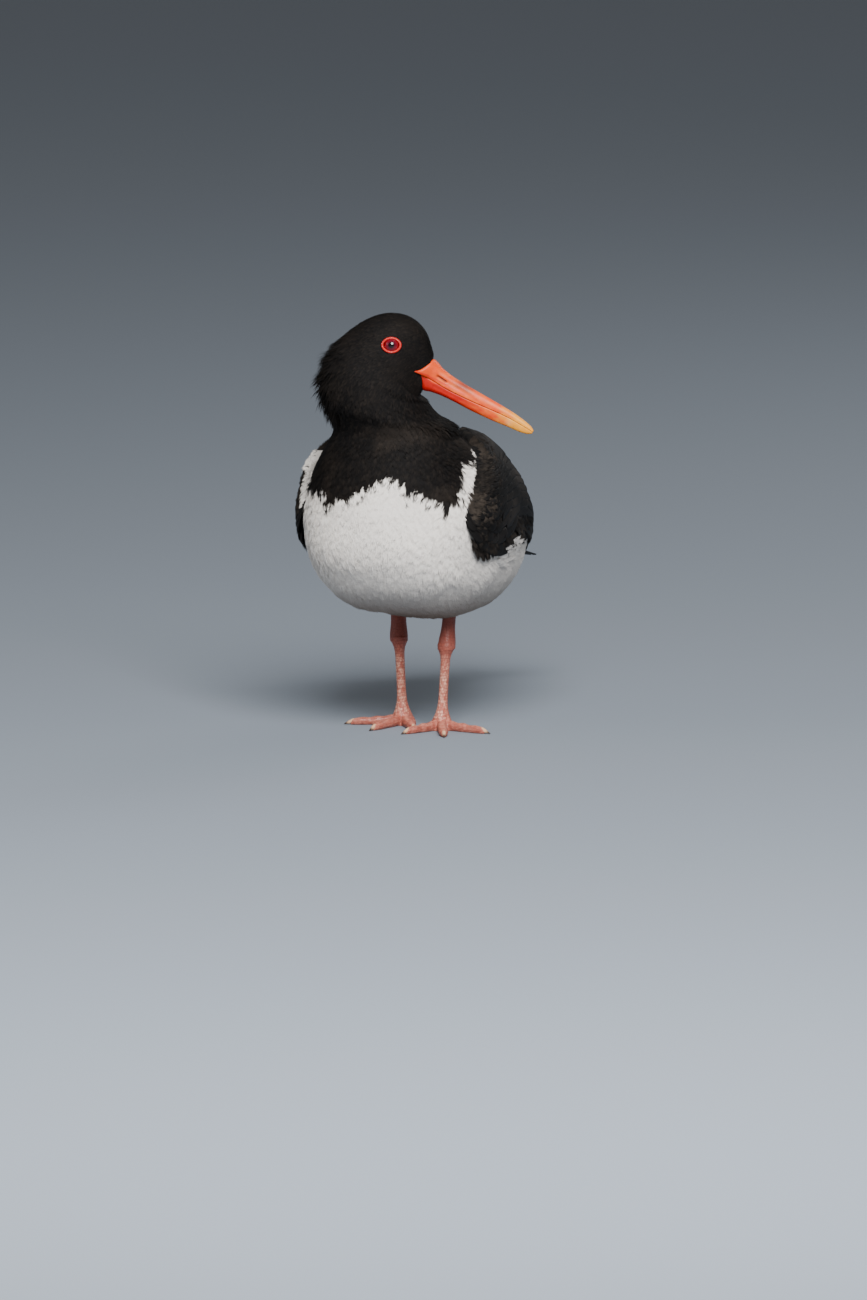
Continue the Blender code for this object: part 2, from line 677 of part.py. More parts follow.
def build_tail_feather(side, index):
    """One feather of the tail, counted from the middle pair outwards."""
    left, back, up = tail_axes()
    turn = math.radians(side * TAIL_SPREAD * (index + 0.5))
    along = back * math.cos(turn) + left * math.sin(turn)
    across = left * math.cos(turn) - back * math.sin(turn)
    length = TAIL_LENGTH * (1 - TAIL_SHORTER * index)
    below = index + (TAIL_SIDE_STEP if side < 0 else 0)
    start = Vector((0, *TAIL_ROOT)) + left * side * TAIL_STAGGER * (index + 0.5) - up * TAIL_STEP * below
    top, bottom = [], []
    for place, width in zip(VANE_PLACES, TAIL_WIDTHS):
        middle = start + along * length * place
        edge = across * TAIL_FEATHER_WIDTH * width
        top.append([middle - edge, middle + up * TAIL_BOW, middle + edge])
        bottom.append([point - up * TAIL_THICK for point in top[-1]])
    return plate("vane", top, bottom)


def build_tail(material):
    """The tail, a stepped fan of feathers round a flat core, with the middle pair on top."""
    left, back, up = tail_axes()
    shares = np.linspace(-1, 1, 5)
    top, bottom = [], []
    for place, width, thick in TAIL_CORE:
        middle = Vector((0, *TAIL_ROOT)) + back * TAIL_LENGTH * place - up * TAIL_STEP
        top.append([middle + left * width * s - up * TAIL_CORE_BOW * s * s for s in shares])
        bottom.append([point - up * thick * (1 - 0.5 * s * s) for point, s in zip(top[-1], shares)])
    tail = plate("tail", top, bottom, material)
    vanes = [build_tail_feather(side, k) for side in (1, -1) for k in range(TAIL_FEATHERS)]
    combine(tail, "UNION", vanes)
    return tail


def leg_ring(middle, half_width, half_depth):
    """A level ring of a leg, half_width to the side and half_depth ahead and behind."""
    return [
        middle + Vector((half_width * math.cos(angle), half_depth * math.sin(angle), 0))
        for angle in np.linspace(0, 2 * math.pi, LEG_SIDES, endpoint=False)
    ]


def build_leg(side, leg, material):
    """The bare lower part of the thigh, and the shank with the pad of the foot."""
    heel = Vector(leg.heel)
    hip = Vector((*leg.hip, TIBIA_TOP))
    foot = Vector((*leg.foot, 0))
    tibia = [leg_ring(heel.lerp(hip, part) + Vector((0, 0, GAP)),
                      width * (1 + (leg.thigh_size - 1) * part), depth)
             for part, width, depth in TIBIA_RINGS]
    tarsus = [leg_ring(heel.lerp(foot, part), width, depth) for part, width, depth in TARSUS_RINGS]
    return (loft("tibia_" + side, tibia, material), loft("tarsus_" + side, tarsus, material))


def toe_axes(leg, toe_index):
    """Directions along a toe and to its side, level."""
    turn = math.radians(leg.toe_turns[toe_index])
    along = Vector((math.sin(turn), -math.cos(turn), 0))
    return along, Vector((math.cos(turn), math.sin(turn), 0))


def build_toe(name, leg, toe_index, toe, material):
    """A toe, flat underneath, with the swellings of its joints."""
    along, across = toe_axes(leg, toe_index)
    rings = []
    for part, width, height in TOE_RINGS:
        middle = Vector((*leg.foot, 0)) + along * toe.length * part
        ring = []
        for angle in np.linspace(0, 2 * math.pi, TOE_SIDES, endpoint=False):
            lift = height * (0.5 + TOE_ROUND * math.sin(angle))
            ring.append(middle + across * toe.half_width * width * math.cos(angle)
                        + Vector((0, 0, min(max(lift, 0.0), height))))
        rings.append(ring)
    return loft(name, rings, material)


def build_claw(name, leg, toe_index, toe, material):
    """A short claw that curves down to just above the floor."""
    along, across = toe_axes(leg, toe_index)
    tip = Vector((*leg.foot, 0)) + along * (toe.length - CLAW_SUNK)
    rings = []
    for part in CLAW_PLACES:
        size = 1 - CLAW_TAPER * part**1.3
        low = CLAW_LIFT + CLAW_ARCH * (1 - part)
        height = CLAW_HEIGHT * size
        middle = tip + along * CLAW_LENGTH * part + Vector((0, 0, low + height / 2))
        rings.append([
            middle + across * CLAW_WIDTH / 2 * size * math.cos(angle)
            + Vector((0, 0, height / 2 * math.sin(angle)))
            for angle in np.linspace(0, 2 * math.pi, CLAW_SIDES, endpoint=False)
        ])
    return loft(name, rings, material)


def stand_on_origin(parts, collection):
    """Hangs all parts on an empty, placed so that the origin is on the floor under their middle."""
    corners = np.array([v.co for part in parts for v in part.data.vertices])
    low, high = corners.min(axis=0), corners.max(axis=0)
    stand = bpy.data.objects.new("stand", None)
    stand.location = (-(low[0] + high[0]) / 2, -(low[1] + high[1]) / 2, -low[2])
    collection.objects.link(stand)
    for part in parts:
        part.parent = stand


def main():
    """Builds every node."""
    clear_scene()
    black = make_material("plumage_black", (0.012, 0.011, 0.011), 0.75)
    white = make_material("plumage_white", (0.83, 0.80, 0.74), 0.85)
    orange = make_material("bill_orange", (0.85, 0.16, 0.03), 0.35)
    red = make_material("eye_red", (0.35, 0.01, 0.01), 0.08)
    lid_red = make_material("eye_ring", (0.85, 0.05, 0.02), 0.4)
    pink = make_material("leg_pink", (0.76, 0.28, 0.20), 0.5)
    horn = make_material("claw_horn", (0.45, 0.30, 0.14), 0.4)

    torso = build_trunk(white)
    neck = build_neck(black)
    head = build_head(black)
    upper = build_bill("bill_upper", 1, orange)
    lower = build_bill("bill_lower", -1, orange)
    cut_nostrils(upper)
    parts = [torso, neck, head, upper, lower]
    sockets = [grown(upper), grown(lower)]
    for side, name in ((1, "left"), (-1, "right")):
        place, frame = eye_frame(head, side)
        eye = build_eye("eye_" + name, place, frame, red)
        lid = build_lid("eye_ring_" + name, place, frame, lid_red)
        sockets += [grown(eye), grown(lid)]
        combine(lid, "DIFFERENCE", [grown(eye)])
        parts += [eye, lid]
    combine(head, "DIFFERENCE", sockets)

    tail = build_tail(black)
    combine(tail, "DIFFERENCE", [grown(torso)])
    left_wing = build_wing(black)
    for wing in (left_wing, mirrored(left_wing, "wing_right")):
        combine(wing, "DIFFERENCE", [grown(torso), grown(neck)])
        parts.append(wing)
    parts.append(tail)

    for side, leg in LEGS.items():
        tibia, tarsus = build_leg(side, leg, pink)
        combine(tibia, "DIFFERENCE", [grown(torso)])
        parts += [tibia, tarsus]
        for index, (name, toe) in enumerate(TOES.items()):
            claw = build_claw(f"claw_{name}_{side}", leg, index, toe, horn)
            body = build_toe(f"toe_{name}_{side}", leg, index, toe, pink)
            combine(body, "DIFFERENCE", [grown(claw), grown(tarsus)])
            parts += [claw, body]

    collection = bpy.data.collections.new("oystercatcher")
    bpy.context.scene.collection.children.link(collection)
    stand_on_origin(parts, collection)
    for part in parts:
        bpy.context.scene.collection.objects.unlink(part)
        collection.objects.link(part)
        shade(part)


if __name__ == "__main__":
    main()
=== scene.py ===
"""Looks of a life-size Eurasian oystercatcher that stands at rest and looks over its left shoulder.

One skin carries the small feathers, which geometry nodes scatter along the lie of the plumage. The
wings and the tail are laid feather by feather. Bill, eyes, legs and claws follow the same named sizes
as the solids and are finer. Metres, +Z up; the bird faces -Y and its left side is at +X. Shapes are
laid out from the floor point below the hips and moved to the frame's origin when they are made.
"""

import json
import logging
import math
from collections.abc import Iterable, Sequence
from dataclasses import dataclass, replace
from enum import Enum
from typing import Any

import bmesh
import bpy
import numpy as np
from bpy.types import Material, Mesh, Node, NodeSocket, NodeTree, Object
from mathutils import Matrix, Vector

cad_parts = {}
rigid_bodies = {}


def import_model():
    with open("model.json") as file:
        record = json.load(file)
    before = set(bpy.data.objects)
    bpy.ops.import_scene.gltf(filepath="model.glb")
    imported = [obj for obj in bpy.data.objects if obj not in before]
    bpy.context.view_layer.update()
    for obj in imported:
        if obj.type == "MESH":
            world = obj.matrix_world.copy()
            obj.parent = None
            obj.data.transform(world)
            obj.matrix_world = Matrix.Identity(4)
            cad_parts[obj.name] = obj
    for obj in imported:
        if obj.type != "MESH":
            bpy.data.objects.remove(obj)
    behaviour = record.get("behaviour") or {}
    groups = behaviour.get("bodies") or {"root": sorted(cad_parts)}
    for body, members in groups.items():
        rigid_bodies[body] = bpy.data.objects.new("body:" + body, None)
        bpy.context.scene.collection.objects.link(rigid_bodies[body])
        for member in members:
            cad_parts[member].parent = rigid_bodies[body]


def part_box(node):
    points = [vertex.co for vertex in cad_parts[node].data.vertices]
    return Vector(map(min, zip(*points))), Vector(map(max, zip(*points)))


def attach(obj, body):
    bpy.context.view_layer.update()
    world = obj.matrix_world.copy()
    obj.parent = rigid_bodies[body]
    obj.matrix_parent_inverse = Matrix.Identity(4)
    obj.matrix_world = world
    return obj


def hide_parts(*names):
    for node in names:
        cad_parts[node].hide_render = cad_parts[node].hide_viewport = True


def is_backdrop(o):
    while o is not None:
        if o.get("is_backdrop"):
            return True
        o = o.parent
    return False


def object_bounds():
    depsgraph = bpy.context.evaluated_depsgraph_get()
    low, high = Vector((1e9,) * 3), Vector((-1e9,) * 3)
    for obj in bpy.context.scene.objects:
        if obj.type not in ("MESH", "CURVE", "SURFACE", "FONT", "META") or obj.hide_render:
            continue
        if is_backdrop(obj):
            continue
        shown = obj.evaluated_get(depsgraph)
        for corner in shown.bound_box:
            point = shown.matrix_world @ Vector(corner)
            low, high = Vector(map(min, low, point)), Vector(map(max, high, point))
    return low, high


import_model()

LOG = logging.getLogger("oystercatcher")
SEED = 11
SEEN = 0.75
UP = np.array([0.0, 0.0, 1.0])
LEFT = np.array([1.0, 0.0, 0.0])

Array = np.ndarray
Triple = tuple[float, float, float]
Table = tuple[tuple[float, ...], ...]


# Numbers and curves


def spline(values: Any, at: Any) -> Array:
    """Values on a smooth curve.

    Args:
        values: what it passes through, at 0, 1, 2 and so on.
        at: where it is read.

    Returns:
        One value, or one row of them, for each place.
    """
    values = np.asarray(values, float)
    at = np.atleast_1d(np.asarray(at, float))
    first = np.clip(np.floor(at).astype(int), 0, len(values) - 2)
    part = (at - first).reshape((-1,) + (1,) * (values.ndim - 1))
    padded = np.concatenate([2 * values[:1] - values[1:2], values, 2 * values[-1:] - values[-2:-1]])
    p0, p1, p2, p3 = (padded[first + k] for k in range(4))
    return 0.5 * (
        2 * p1
        + (p2 - p0) * part
        + (2 * p0 - 5 * p1 + 4 * p2 - p3) * part**2
        + (3 * p1 - p0 - 3 * p2 + p3) * part**3
    )


def curve_at(places: Sequence[float], values: Any, at: Any) -> Array:
    """Values at places at on a smooth curve through values, which stand at the given places."""
    return spline(values, np.interp(at, places, np.arange(len(places))))


def step(low: float, high: float, value: Any) -> Array:
    """0 up to low, 1 from high on and a smooth rise between."""
    share = np.clip((np.asarray(value, float) - low) / (high - low), 0, 1)
    return share * share * (3 - 2 * share)


def unit(vectors: Array) -> Array:
    """The vectors made one long."""
    return vectors / np.maximum(np.linalg.norm(vectors, axis=-1, keepdims=True), 1e-12)


def blend_colours(first: Any, second: Any, share: Array) -> Array:
    """Colours between first and second, one for each share."""
    share = np.asarray(share)[..., None]
    return np.asarray(first, float) * (1 - share) + np.asarray(second, float) * share


def toward(colours: Array, target: Any, share: Array) -> Array:
    """Colours moved towards one colour by a share each, which is held between 0 and 1."""
    return blend_colours(colours, target, np.clip(share, 0, 1))


def bell(value: Any, middle: float, width: float) -> Array:
    """A smooth hump, 1 at the middle and almost 0 two widths away."""
    return np.exp(-(((value - middle) / width) ** 2))


def circle(count: int) -> Array:
    """Turns of that many points round a whole circle."""
    return np.linspace(0, 2 * math.pi, count, endpoint=False)


def pairs(first: Any, second: Any) -> Array:
    """A grid of two values, one for its rows and one for its columns, in the last axis."""
    return np.stack(np.meshgrid(first, second, indexing="ij"), axis=-1)


def waves(points: Array, size: float, seed: int = 0) -> Array:
    """Smooth random values from about -1 to 1.

    Args:
        points: where they are read.
        size: about how wide their humps are.
        seed: what varies them.

    Returns:
        One value for each point.
    """
    draw = np.random.default_rng(seed)
    total = np.zeros(points.shape[:-1])
    for _ in range(7):
        direction = unit(draw.normal(size=3))
        pitch = 2 * math.pi / (size * draw.uniform(1.2, 2.6))
        total += np.sin(points @ direction * pitch + draw.uniform(0, 2 * math.pi))
    return total / 2.6


# Shapes shared with the solids


@dataclass(frozen=True)
class Trunk:
    """The feathered trunk's surface, from the root of the tail to the base of the neck.

    Each station is its centre's y and z in the plane x = 0, its lean back from upright in degrees,
    its reach to the side, to the back and to the belly, and how square it is on the belly side.
    """

    stations: Table = (
        (0.098, 0.104, 14, 0.0195, 0.0110, 0.0135, 2.2),
        (0.076, 0.111, 14, 0.0408, 0.0260, 0.0345, 2.5),
        (0.046, 0.120, 16, 0.0530, 0.0410, 0.0522, 2.8),
        (0.011, 0.130, 18, 0.0575, 0.0520, 0.0640, 3.0),
        (-0.022, 0.141, 24, 0.0592, 0.0530, 0.0665, 3.1),
        (-0.044, 0.155, 40, 0.0575, 0.0460, 0.0600, 2.6),
        (-0.051, 0.171, 62, 0.0478, 0.0400, 0.0425, 2.2),
        (-0.049, 0.184, 80, 0.0388, 0.0352, 0.0345, 2.0),
        (-0.047, 0.193, 90, 0.0365, 0.0350, 0.0295, 2.0),
    )
    back_fullness: float = 2.1

    def point(self, at: Any, angle: Any, rise: Any = 0.0) -> Array:
        """Points at places between the stations and angles from the back in radians.

        Args:
            at: places, counted from the tail.
            angle: angles from the back, positive towards the left side.
            rise: how far outside the surface.

        Returns:
            One point for each place.
        """
        y, z, lean, half_width, back, belly, fullness = spline(self.stations, at).T
        lean = np.radians(lean)
        cosine, sine = np.cos(angle), np.sin(angle)
        power = 2.0 / np.where(cosine > 0, self.back_fullness, fullness)
        up = np.sign(cosine) * np.abs(cosine) ** power
        across = np.sign(sine) * np.abs(sine) ** power
        height = np.where(up > 0, back, belly)
        out_across, out_up = across / half_width, up / height
        size = np.hypot(out_across, out_up)
        side = half_width * across + rise * out_across / size
        lift = height * up + rise * out_up / size
        return np.stack([side, y + lift * np.sin(lean), z + lift * np.cos(lean)], axis=-1)


@dataclass(frozen=True)
class Head:
    """The neck's and head's rings, in the upright plane through the bill.

    Each ring is the reach towards the bill and the height of its crown side and of its throat side,
    measured from the middle of the skull, then its half width and its shift to the head's left.
    """

    skull: Triple = (0.0031, -0.0565, 0.238)
    turn: float = 12.0
    rings: Table = (
        (-0.0430, -0.0325, 0.0275, -0.0395, 0.0310, 0.007),
        (-0.0447, -0.0190, 0.0205, -0.0300, 0.0270, 0.003),
        (-0.0408, -0.0036, 0.0180, -0.0266, 0.0235, 0.0),
        (-0.0308, 0.0098, 0.0174, -0.0256, 0.0208, 0.0),
        (-0.0172, 0.0198, 0.0174, -0.0250, 0.0190, 0.0),
        (-0.0030, 0.0243, 0.0176, -0.0245, 0.0160, 0.0),
        (0.0105, 0.0222, 0.0180, -0.0240, 0.0120, 0.0),
        (0.0202, 0.0135, 0.0185, -0.0234, 0.0088, 0.0),
        (0.0253, -0.0012, 0.0190, -0.0226, 0.0070, 0.0),
    )

    def axes(self) -> Array:
        """Directions towards the bill in plan, up, and to the head's left, as rows."""
        ahead = np.array([math.cos(math.radians(self.turn)), math.sin(math.radians(self.turn)), 0.0])
        return np.array([ahead, UP, np.cross(UP, ahead)])

    def point(self, reach: Any, height: Any, shift: Any = 0.0) -> Array:
        """Points given by reach, height and shift from the middle of the skull."""
        parts = np.stack(np.broadcast_arrays(reach, height, shift), axis=-1).astype(float)
        return np.array(self.skull) + parts @ self.axes()

    def ring(self, sizes: tuple[float, ...], turns: Array) -> Array:
        """Points of one ring.

        Args:
            sizes: the ring's row of rings.
            turns: turns from its crown side.

        Returns:
            One point for each turn.
        """
        crown = self.point(sizes[0], sizes[1], sizes[5])
        throat = self.point(sizes[2], sizes[3], sizes[5])
        middle, half = (crown + throat) / 2, (crown - throat) / 2
        left = self.axes()[2] * sizes[4]
        return middle + np.cos(turns)[:, None] * half + np.sin(turns)[:, None] * left


@dataclass(frozen=True)
class Body:
    """The whole outer surface of trunk, neck and head, as rings from the tail to the bill."""

    trunk: Trunk = Trunk()
    head: Head = Head()
    sides: int = 120
    rings: int = 260

    @property
    def neck(self) -> int:
        """Place at which the trunk ends and the neck begins."""
        return len(self.trunk.stations) - 1

    def places(self) -> Array:
        """Places of the rings, the last of which is at the bill."""
        return np.linspace(0, self.neck + len(self.head.rings), self.rings)

    def turns(self) -> Array:
        """Turns of the points of a ring, from the side that is the crown's."""
        return circle(self.sides)

    def grid(self) -> Array:
        """Lays the rings and eases the step from the trunk to the neck.

        Returns:
            The outer surface's points, ring by ring.
        """
        turns, places = self.turns(), self.places()
        offset = math.radians(90 + self.head.turn)
        base = self.trunk.point(np.full(self.sides, float(self.neck)), turns - offset)
        named = np.array([base] + [self.head.ring(ring, turns) for ring in self.head.rings])
        rings = []
        for place in places:
            if place <= self.neck:
                rings.append(self.trunk.point(np.full(self.sides, place), turns - offset))
            else:
                rings.append(spline(named, place - self.neck)[0])
        grid = np.array(rings)
        weight = 0.5 * bell(places - self.neck, 0.1, 0.8)[1:-1, None, None]
        for _ in range(80):
            grid[1:-1] += weight * ((grid[:-2] + grid[2:]) / 2 - grid[1:-1])
        return grid


def grid_normals(grid: Array, rounds: int) -> Array:
    """Outward directions of a surface.

    Args:
        grid: its points, in rings that close on themselves.
        rounds: how many times they are smoothed.

    Returns:
        One direction for each point.
    """
    along = unit(np.gradient(grid, axis=0))
    around = unit(np.roll(grid, -1, axis=1) - np.roll(grid, 1, axis=1))
    out = unit(np.cross(around, along))
    centre = grid.mean(axis=1, keepdims=True)
    if (out * (grid - centre)).sum() < 0:
        out = -out
    for _ in range(rounds):
        out[1:-1] = unit(out[:-2] + 2 * out[1:-1] + out[2:])
        out = unit(np.roll(out, 1, axis=1) + 2 * out + np.roll(out, -1, axis=1))
    return out


def slopes(grid: Array, closed: bool) -> Array:
    """Steps to the next points along and round a grid, in the last axis."""
    ring = (np.roll(grid, -1, axis=1) - np.roll(grid, 1, axis=1)) / 2
    return np.stack([np.gradient(grid, axis=0), ring if closed else np.gradient(grid, axis=1)], axis=-1)


def bending(grid: Array, out: Array, lie: Array, closed: bool = True) -> Array:
    """How sharply a surface bends away along the lie and across it, per metre.

    Args:
        grid: its points.
        out: its outward directions.
        lie: directions along it.
        closed: whether each ring of the grid closes on itself.

    Returns:
        The two bends and a nought for each point.
    """
    turning = slopes(out, closed) @ np.linalg.pinv(slopes(grid, closed))
    ways = (lie, np.cross(out, lie))
    bends = [((turning @ way[..., None])[..., 0] * way).sum(axis=-1) for way in ways]
    return np.stack([np.clip(bend, -40, 90) for bend in bends] + [np.zeros(grid.shape[:2])], axis=-1)


# Meshes


class Origin:
    """Moves what is laid out from the point below the hips to the frame's own origin."""

    def __init__(self) -> None:
        """Finds the move from the low corner of the left shank, an upright ring of 14 sides."""
        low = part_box("tarsus_left")[0]
        foot_low = np.array([0.0164 - 0.0080, -0.0074 - 0.0078 * math.sin(math.radians(540 / 7)), 0.0])
        self.shift = foot_low - np.array([low.x, low.y, 0.0])

    def move(self, points: Array) -> Array:
        """Points in the frame's coordinates."""
        return np.asarray(points, float) - self.shift


ORIGIN = Origin()


def quads(rows: int, columns: int, wrap: bool = False) -> Array:
    """Faces of a grid of points.

    Args:
        rows: how many rows of points it has.
        columns: how many points a row has.
        wrap: whether each row closes on itself.

    Returns:
        The numbers of each face's four corners.
    """
    i, j = np.moveaxis(pairs(np.arange(rows - 1), np.arange(columns if wrap else columns - 1)), -1, 0)
    a, b = i * columns + j, i * columns + (j + 1) % columns
    return np.stack([a, b, b + columns, a + columns], axis=-1).reshape(-1, 4)


def tube_faces(rows: int, columns: int) -> list[tuple[int, ...]]:
    """Faces of a tube of that many rings of that many points, closed at both ends."""
    last = range((rows - 1) * columns, rows * columns)
    return [*map(tuple, quads(rows, columns, wrap=True)), tuple(range(columns))[::-1], tuple(last)]


class Shape:
    """A mesh that grows piece by piece, with a colour and a leaf position at each point."""

    def __init__(self) -> None:
        """Starts with nothing."""
        self.parts: list[list[Array]] = []
        self.faces: list[tuple[int, ...]] = []

    def add(
        self, points: Array, faces: Iterable[Sequence[int]],
        tint: Any = (1, 1, 1), leaf: Any = (0, 0, 0), uv: Any = (0, 0),
    ) -> None:
        """Adds one piece.

        Args:
            points: its points.
            faces: its faces, by the numbers of these points.
            tint: one colour, or one for each point.
            leaf: one position on a feather, or one for each point.
            uv: one place on the bake's map, or one for each point.
        """
        first = sum(len(part[0]) for part in self.parts)
        self.faces.extend(tuple(int(v) + first for v in face) for face in faces)
        part = [np.asarray(points, float).reshape(-1, 3)]
        for value, width in ((tint, 3), (leaf, 3), (uv, 2)):
            value = np.asarray(value, float).reshape(-1, width)
            part.append(np.broadcast_to(value, (len(part[0]), width)))
        self.parts.append(part)

    def build(
        self, name: str, material: Material | None = None, slot: str = "", plates: bool = False
    ) -> Object:
        """Makes the object, in the frame's coordinates.

        Args:
            name: its name.
            material: its finish.
            slot: not used.
            plates: whether it is made of plates, whose faces point outwards already.

        Returns:
            The object, linked to the scene.
        """
        points, tints, leaves, places = map(np.concatenate, zip(*self.parts))
        mesh = bpy.data.meshes.new(name)
        mesh.from_pydata(ORIGIN.move(points).tolist(), [], self.faces)
        put_attribute(mesh, "tint", tints)
        put_attribute(mesh, "leaf", leaves)
        put_uv(mesh, places)
        shade_smooth(mesh)
        if not plates:
            clean(mesh)
        if material:
            mesh.materials.append(material)
        obj = link(name, mesh)
        return obj


def link(name: str, data: Any) -> Object:
    """Makes an object and links it to the scene.

    Args:
        name: its name.
        data: its mesh, light or camera.

    Returns:
        The object.
    """
    obj = bpy.data.objects.new(name, data)
    bpy.context.scene.collection.objects.link(obj)
    return obj


def shade_smooth(mesh: Mesh) -> None:
    """Shades all faces of a mesh smooth."""
    mesh.polygons.foreach_set("use_smooth", [True] * len(mesh.polygons))


def clean(mesh: Mesh) -> None:
    """Joins points of closed surfaces that coincide and turns their faces outwards.

    Args:
        mesh: the surfaces.
    """
    shape = bmesh.new()
    shape.from_mesh(mesh)
    bmesh.ops.remove_doubles(shape, verts=shape.verts, dist=1e-7)
    bmesh.ops.recalc_face_normals(shape, faces=shape.faces)
    shape.to_mesh(mesh)
    shape.free()


def put_attribute(mesh: Mesh, name: str, values: Array) -> None:
    """Stores something at each point of a mesh.

    Args:
        mesh: the mesh.
        name: what it is stored under.
        values: a vector or a number for each point.
    """
    values = np.asarray(values, np.float32)
    kind, what = ("FLOAT_VECTOR", "vector") if values.ndim == 2 else ("FLOAT", "value")
    mesh.attributes.new(name, kind, "POINT").data.foreach_set(what, values.ravel())


def read(data: Any, what: str) -> Array:
    """Reads three numbers of each item of a mesh's data.

    Args:
        data: the points, or the values of an attribute.
        what: which of their properties.

    Returns:
        A row for each item.
    """
    values = np.empty(len(data) * 3, np.float32)
    data.foreach_get(what, values)
    return values.reshape(-1, 3).astype(float)


def put_uv(mesh: Mesh, values: Array) -> None:
    """Writes the map for the bake from a place for each point."""
    places = np.asarray(values, np.float32)[corner_points(mesh)]
    mesh.uv_layers.new(name="OFBake").data.foreach_set("uv", places.ravel())


def corner_points(mesh: Mesh) -> Array:
    """Which point each corner of a mesh's faces has.

    Args:
        mesh: the mesh.

    Returns:
        The points' numbers.
    """
    corners = np.empty(len(mesh.loops), np.int32)
    mesh.loops.foreach_get("vertex_index", corners)
    return corners


def drop_attributes(mesh: Mesh, names: Iterable[str]) -> None:
    """Removes what is stored under these names on a mesh."""
    for name in [name for name in names if name in mesh.attributes]:
        mesh.attributes.remove(mesh.attributes[name])


def set_points(mesh: Mesh, points: Array) -> None:
    """Moves the points of a mesh."""
    mesh.vertices.foreach_set("co", points.astype(np.float32).ravel())
    mesh.update()


# Node trees and finishes


class Signal:
    """A socket that carries a number, on which arithmetic adds Math nodes."""

    def __init__(self, graph: "Graph", socket: NodeSocket) -> None:
        """Wraps a socket of a graph."""
        self.graph = graph
        self.socket = socket

    def math(self, operation: str, *values: Any, clamp: bool = False) -> "Signal":
        """A Math node on these values.

        Args:
            operation: the node's operation.
            values: its inputs, in order.
            clamp: whether the result stays between 0 and 1.

        Returns:
            The node's output.
        """
        settings = {"operation": operation, "use_clamp": clamp}
        node = self.graph.add("ShaderNodeMath", settings, dict(enumerate(values)))
        return Signal(self.graph, node.outputs[0])

    def __add__(self, other: Any) -> "Signal":
        """self + other."""
        return self.math("ADD", self, other)

    __radd__ = __add__

    def __sub__(self, other: Any) -> "Signal":
        """self - other."""
        return self.math("SUBTRACT", self, other)

    def __rsub__(self, other: Any) -> "Signal":
        """other - self."""
        return self.math("SUBTRACT", other, self)

    def __mul__(self, other: Any) -> "Signal":
        """self * other."""
        return self.math("MULTIPLY", self, other)

    __rmul__ = __mul__

    def sine(self) -> "Signal":
        """Its sine."""
        return self.math("SINE", self)

    def size(self) -> "Signal":
        """Its absolute value."""
        return self.math("ABSOLUTE", self)

    def between(self, low: float, high: float) -> "Signal":
        """0 at low and 1 at high, held there."""
        return self.math("MULTIPLY", self - low, 1 / (high - low), clamp=True)


class Graph:
    """A node tree that is filled node by node."""

    def __init__(self, tree: NodeTree) -> None:
        """Wraps a tree."""
        self.tree = tree

    def add(
        self, kind: str, settings: dict[str, Any] | None = None, inputs: dict[Any, Any] | None = None
    ) -> Node:
        """Adds a node.

        Args:
            kind: its type.
            settings: its properties, which are set first.
            inputs: values or links of its sockets, by name or number.

        Returns:
            The node.
        """
        node = self.tree.nodes.new(kind)
        for key, value in (settings or {}).items():
            setattr(node, key, value)
        for key, value in (inputs or {}).items():
            self.feed(node.inputs[key] if isinstance(key, int) else pick(node.inputs, key), value)
        return node

    def feed(self, socket: NodeSocket, value: Any) -> None:
        """Gives a socket its value or its link.

        Args:
            socket: the socket.
            value: a value, another socket or a signal.
        """
        if isinstance(value, Signal):
            value = value.socket
        if isinstance(value, NodeSocket):
            self.tree.links.new(value, socket)
        else:
            socket.default_value = value


def pick(sockets: Any, name: str) -> NodeSocket:
    """The socket of that name that the node's settings leave in use."""
    return next(socket for socket in sockets if socket.name == name and socket.enabled)


class Paint(Graph):
    """A material's node tree, with the few steps that the finishes share."""

    def __init__(self, name: str) -> None:
        """Starts a material whose colour is the piece's tint.

        Args:
            name: its name.
        """
        self.material = bpy.data.materials.new(name)
        self.material.use_nodes = True
        super().__init__(self.material.node_tree)
        self.shader = self.tree.nodes["Principled BSDF"]

    def tint(self) -> NodeSocket:
        """The colour that is stored at each point of the piece."""
        return self.add("ShaderNodeAttribute", {"attribute_name": "tint"}).outputs["Color"]

    def place(self) -> NodeSocket:
        """The piece's own coordinates."""
        return self.add("ShaderNodeTexCoord").outputs["Object"]

    def noise(self, scale: float, detail: float) -> Signal:
        """A noise of that scale on the piece's own coordinates."""
        values = {"Vector": self.place(), "Scale": scale, "Detail": detail}
        return Signal(self, self.add("ShaderNodeTexNoise", {}, values).outputs[0])

    def mix(self, share: Any, first: Any, second: Any, kind: str = "MIX") -> NodeSocket:
        """A blend of two colours.

        Args:
            share: how much of the second it has.
            first: the first colour.
            second: the second one.
            kind: the kind of blend.

        Returns:
            The colour.
        """
        values = {"Factor": share, "A": first, "B": second}
        node = self.add("ShaderNodeMix", {"data_type": "RGBA", "blend_type": kind}, values)
        return pick(node.outputs, "Result")

    def shaded(self, share: Signal, shade: Triple) -> NodeSocket:
        """The stored colour where share is 1, and darkened by a shade where it is 0."""
        tint = self.tint()
        return self.mix(share, self.mix(1.0, tint, (*shade, 1), "MULTIPLY"), tint)

    def bump(self, height: Signal, depth: float, strength: float = 1.0) -> NodeSocket:
        """A bump of that depth in metres."""
        node = self.add("ShaderNodeBump", {}, {"Height": height, "Distance": depth, "Strength": strength})
        return node.outputs["Normal"]

    def finish(self, inputs: dict[str, Any]) -> Material:
        """Closes the material.

        Args:
            inputs: values or links of the shader's sockets.

        Returns:
            The material.
        """
        for key, value in inputs.items():
            self.feed(self.shader.inputs[key], value)
        return self.material


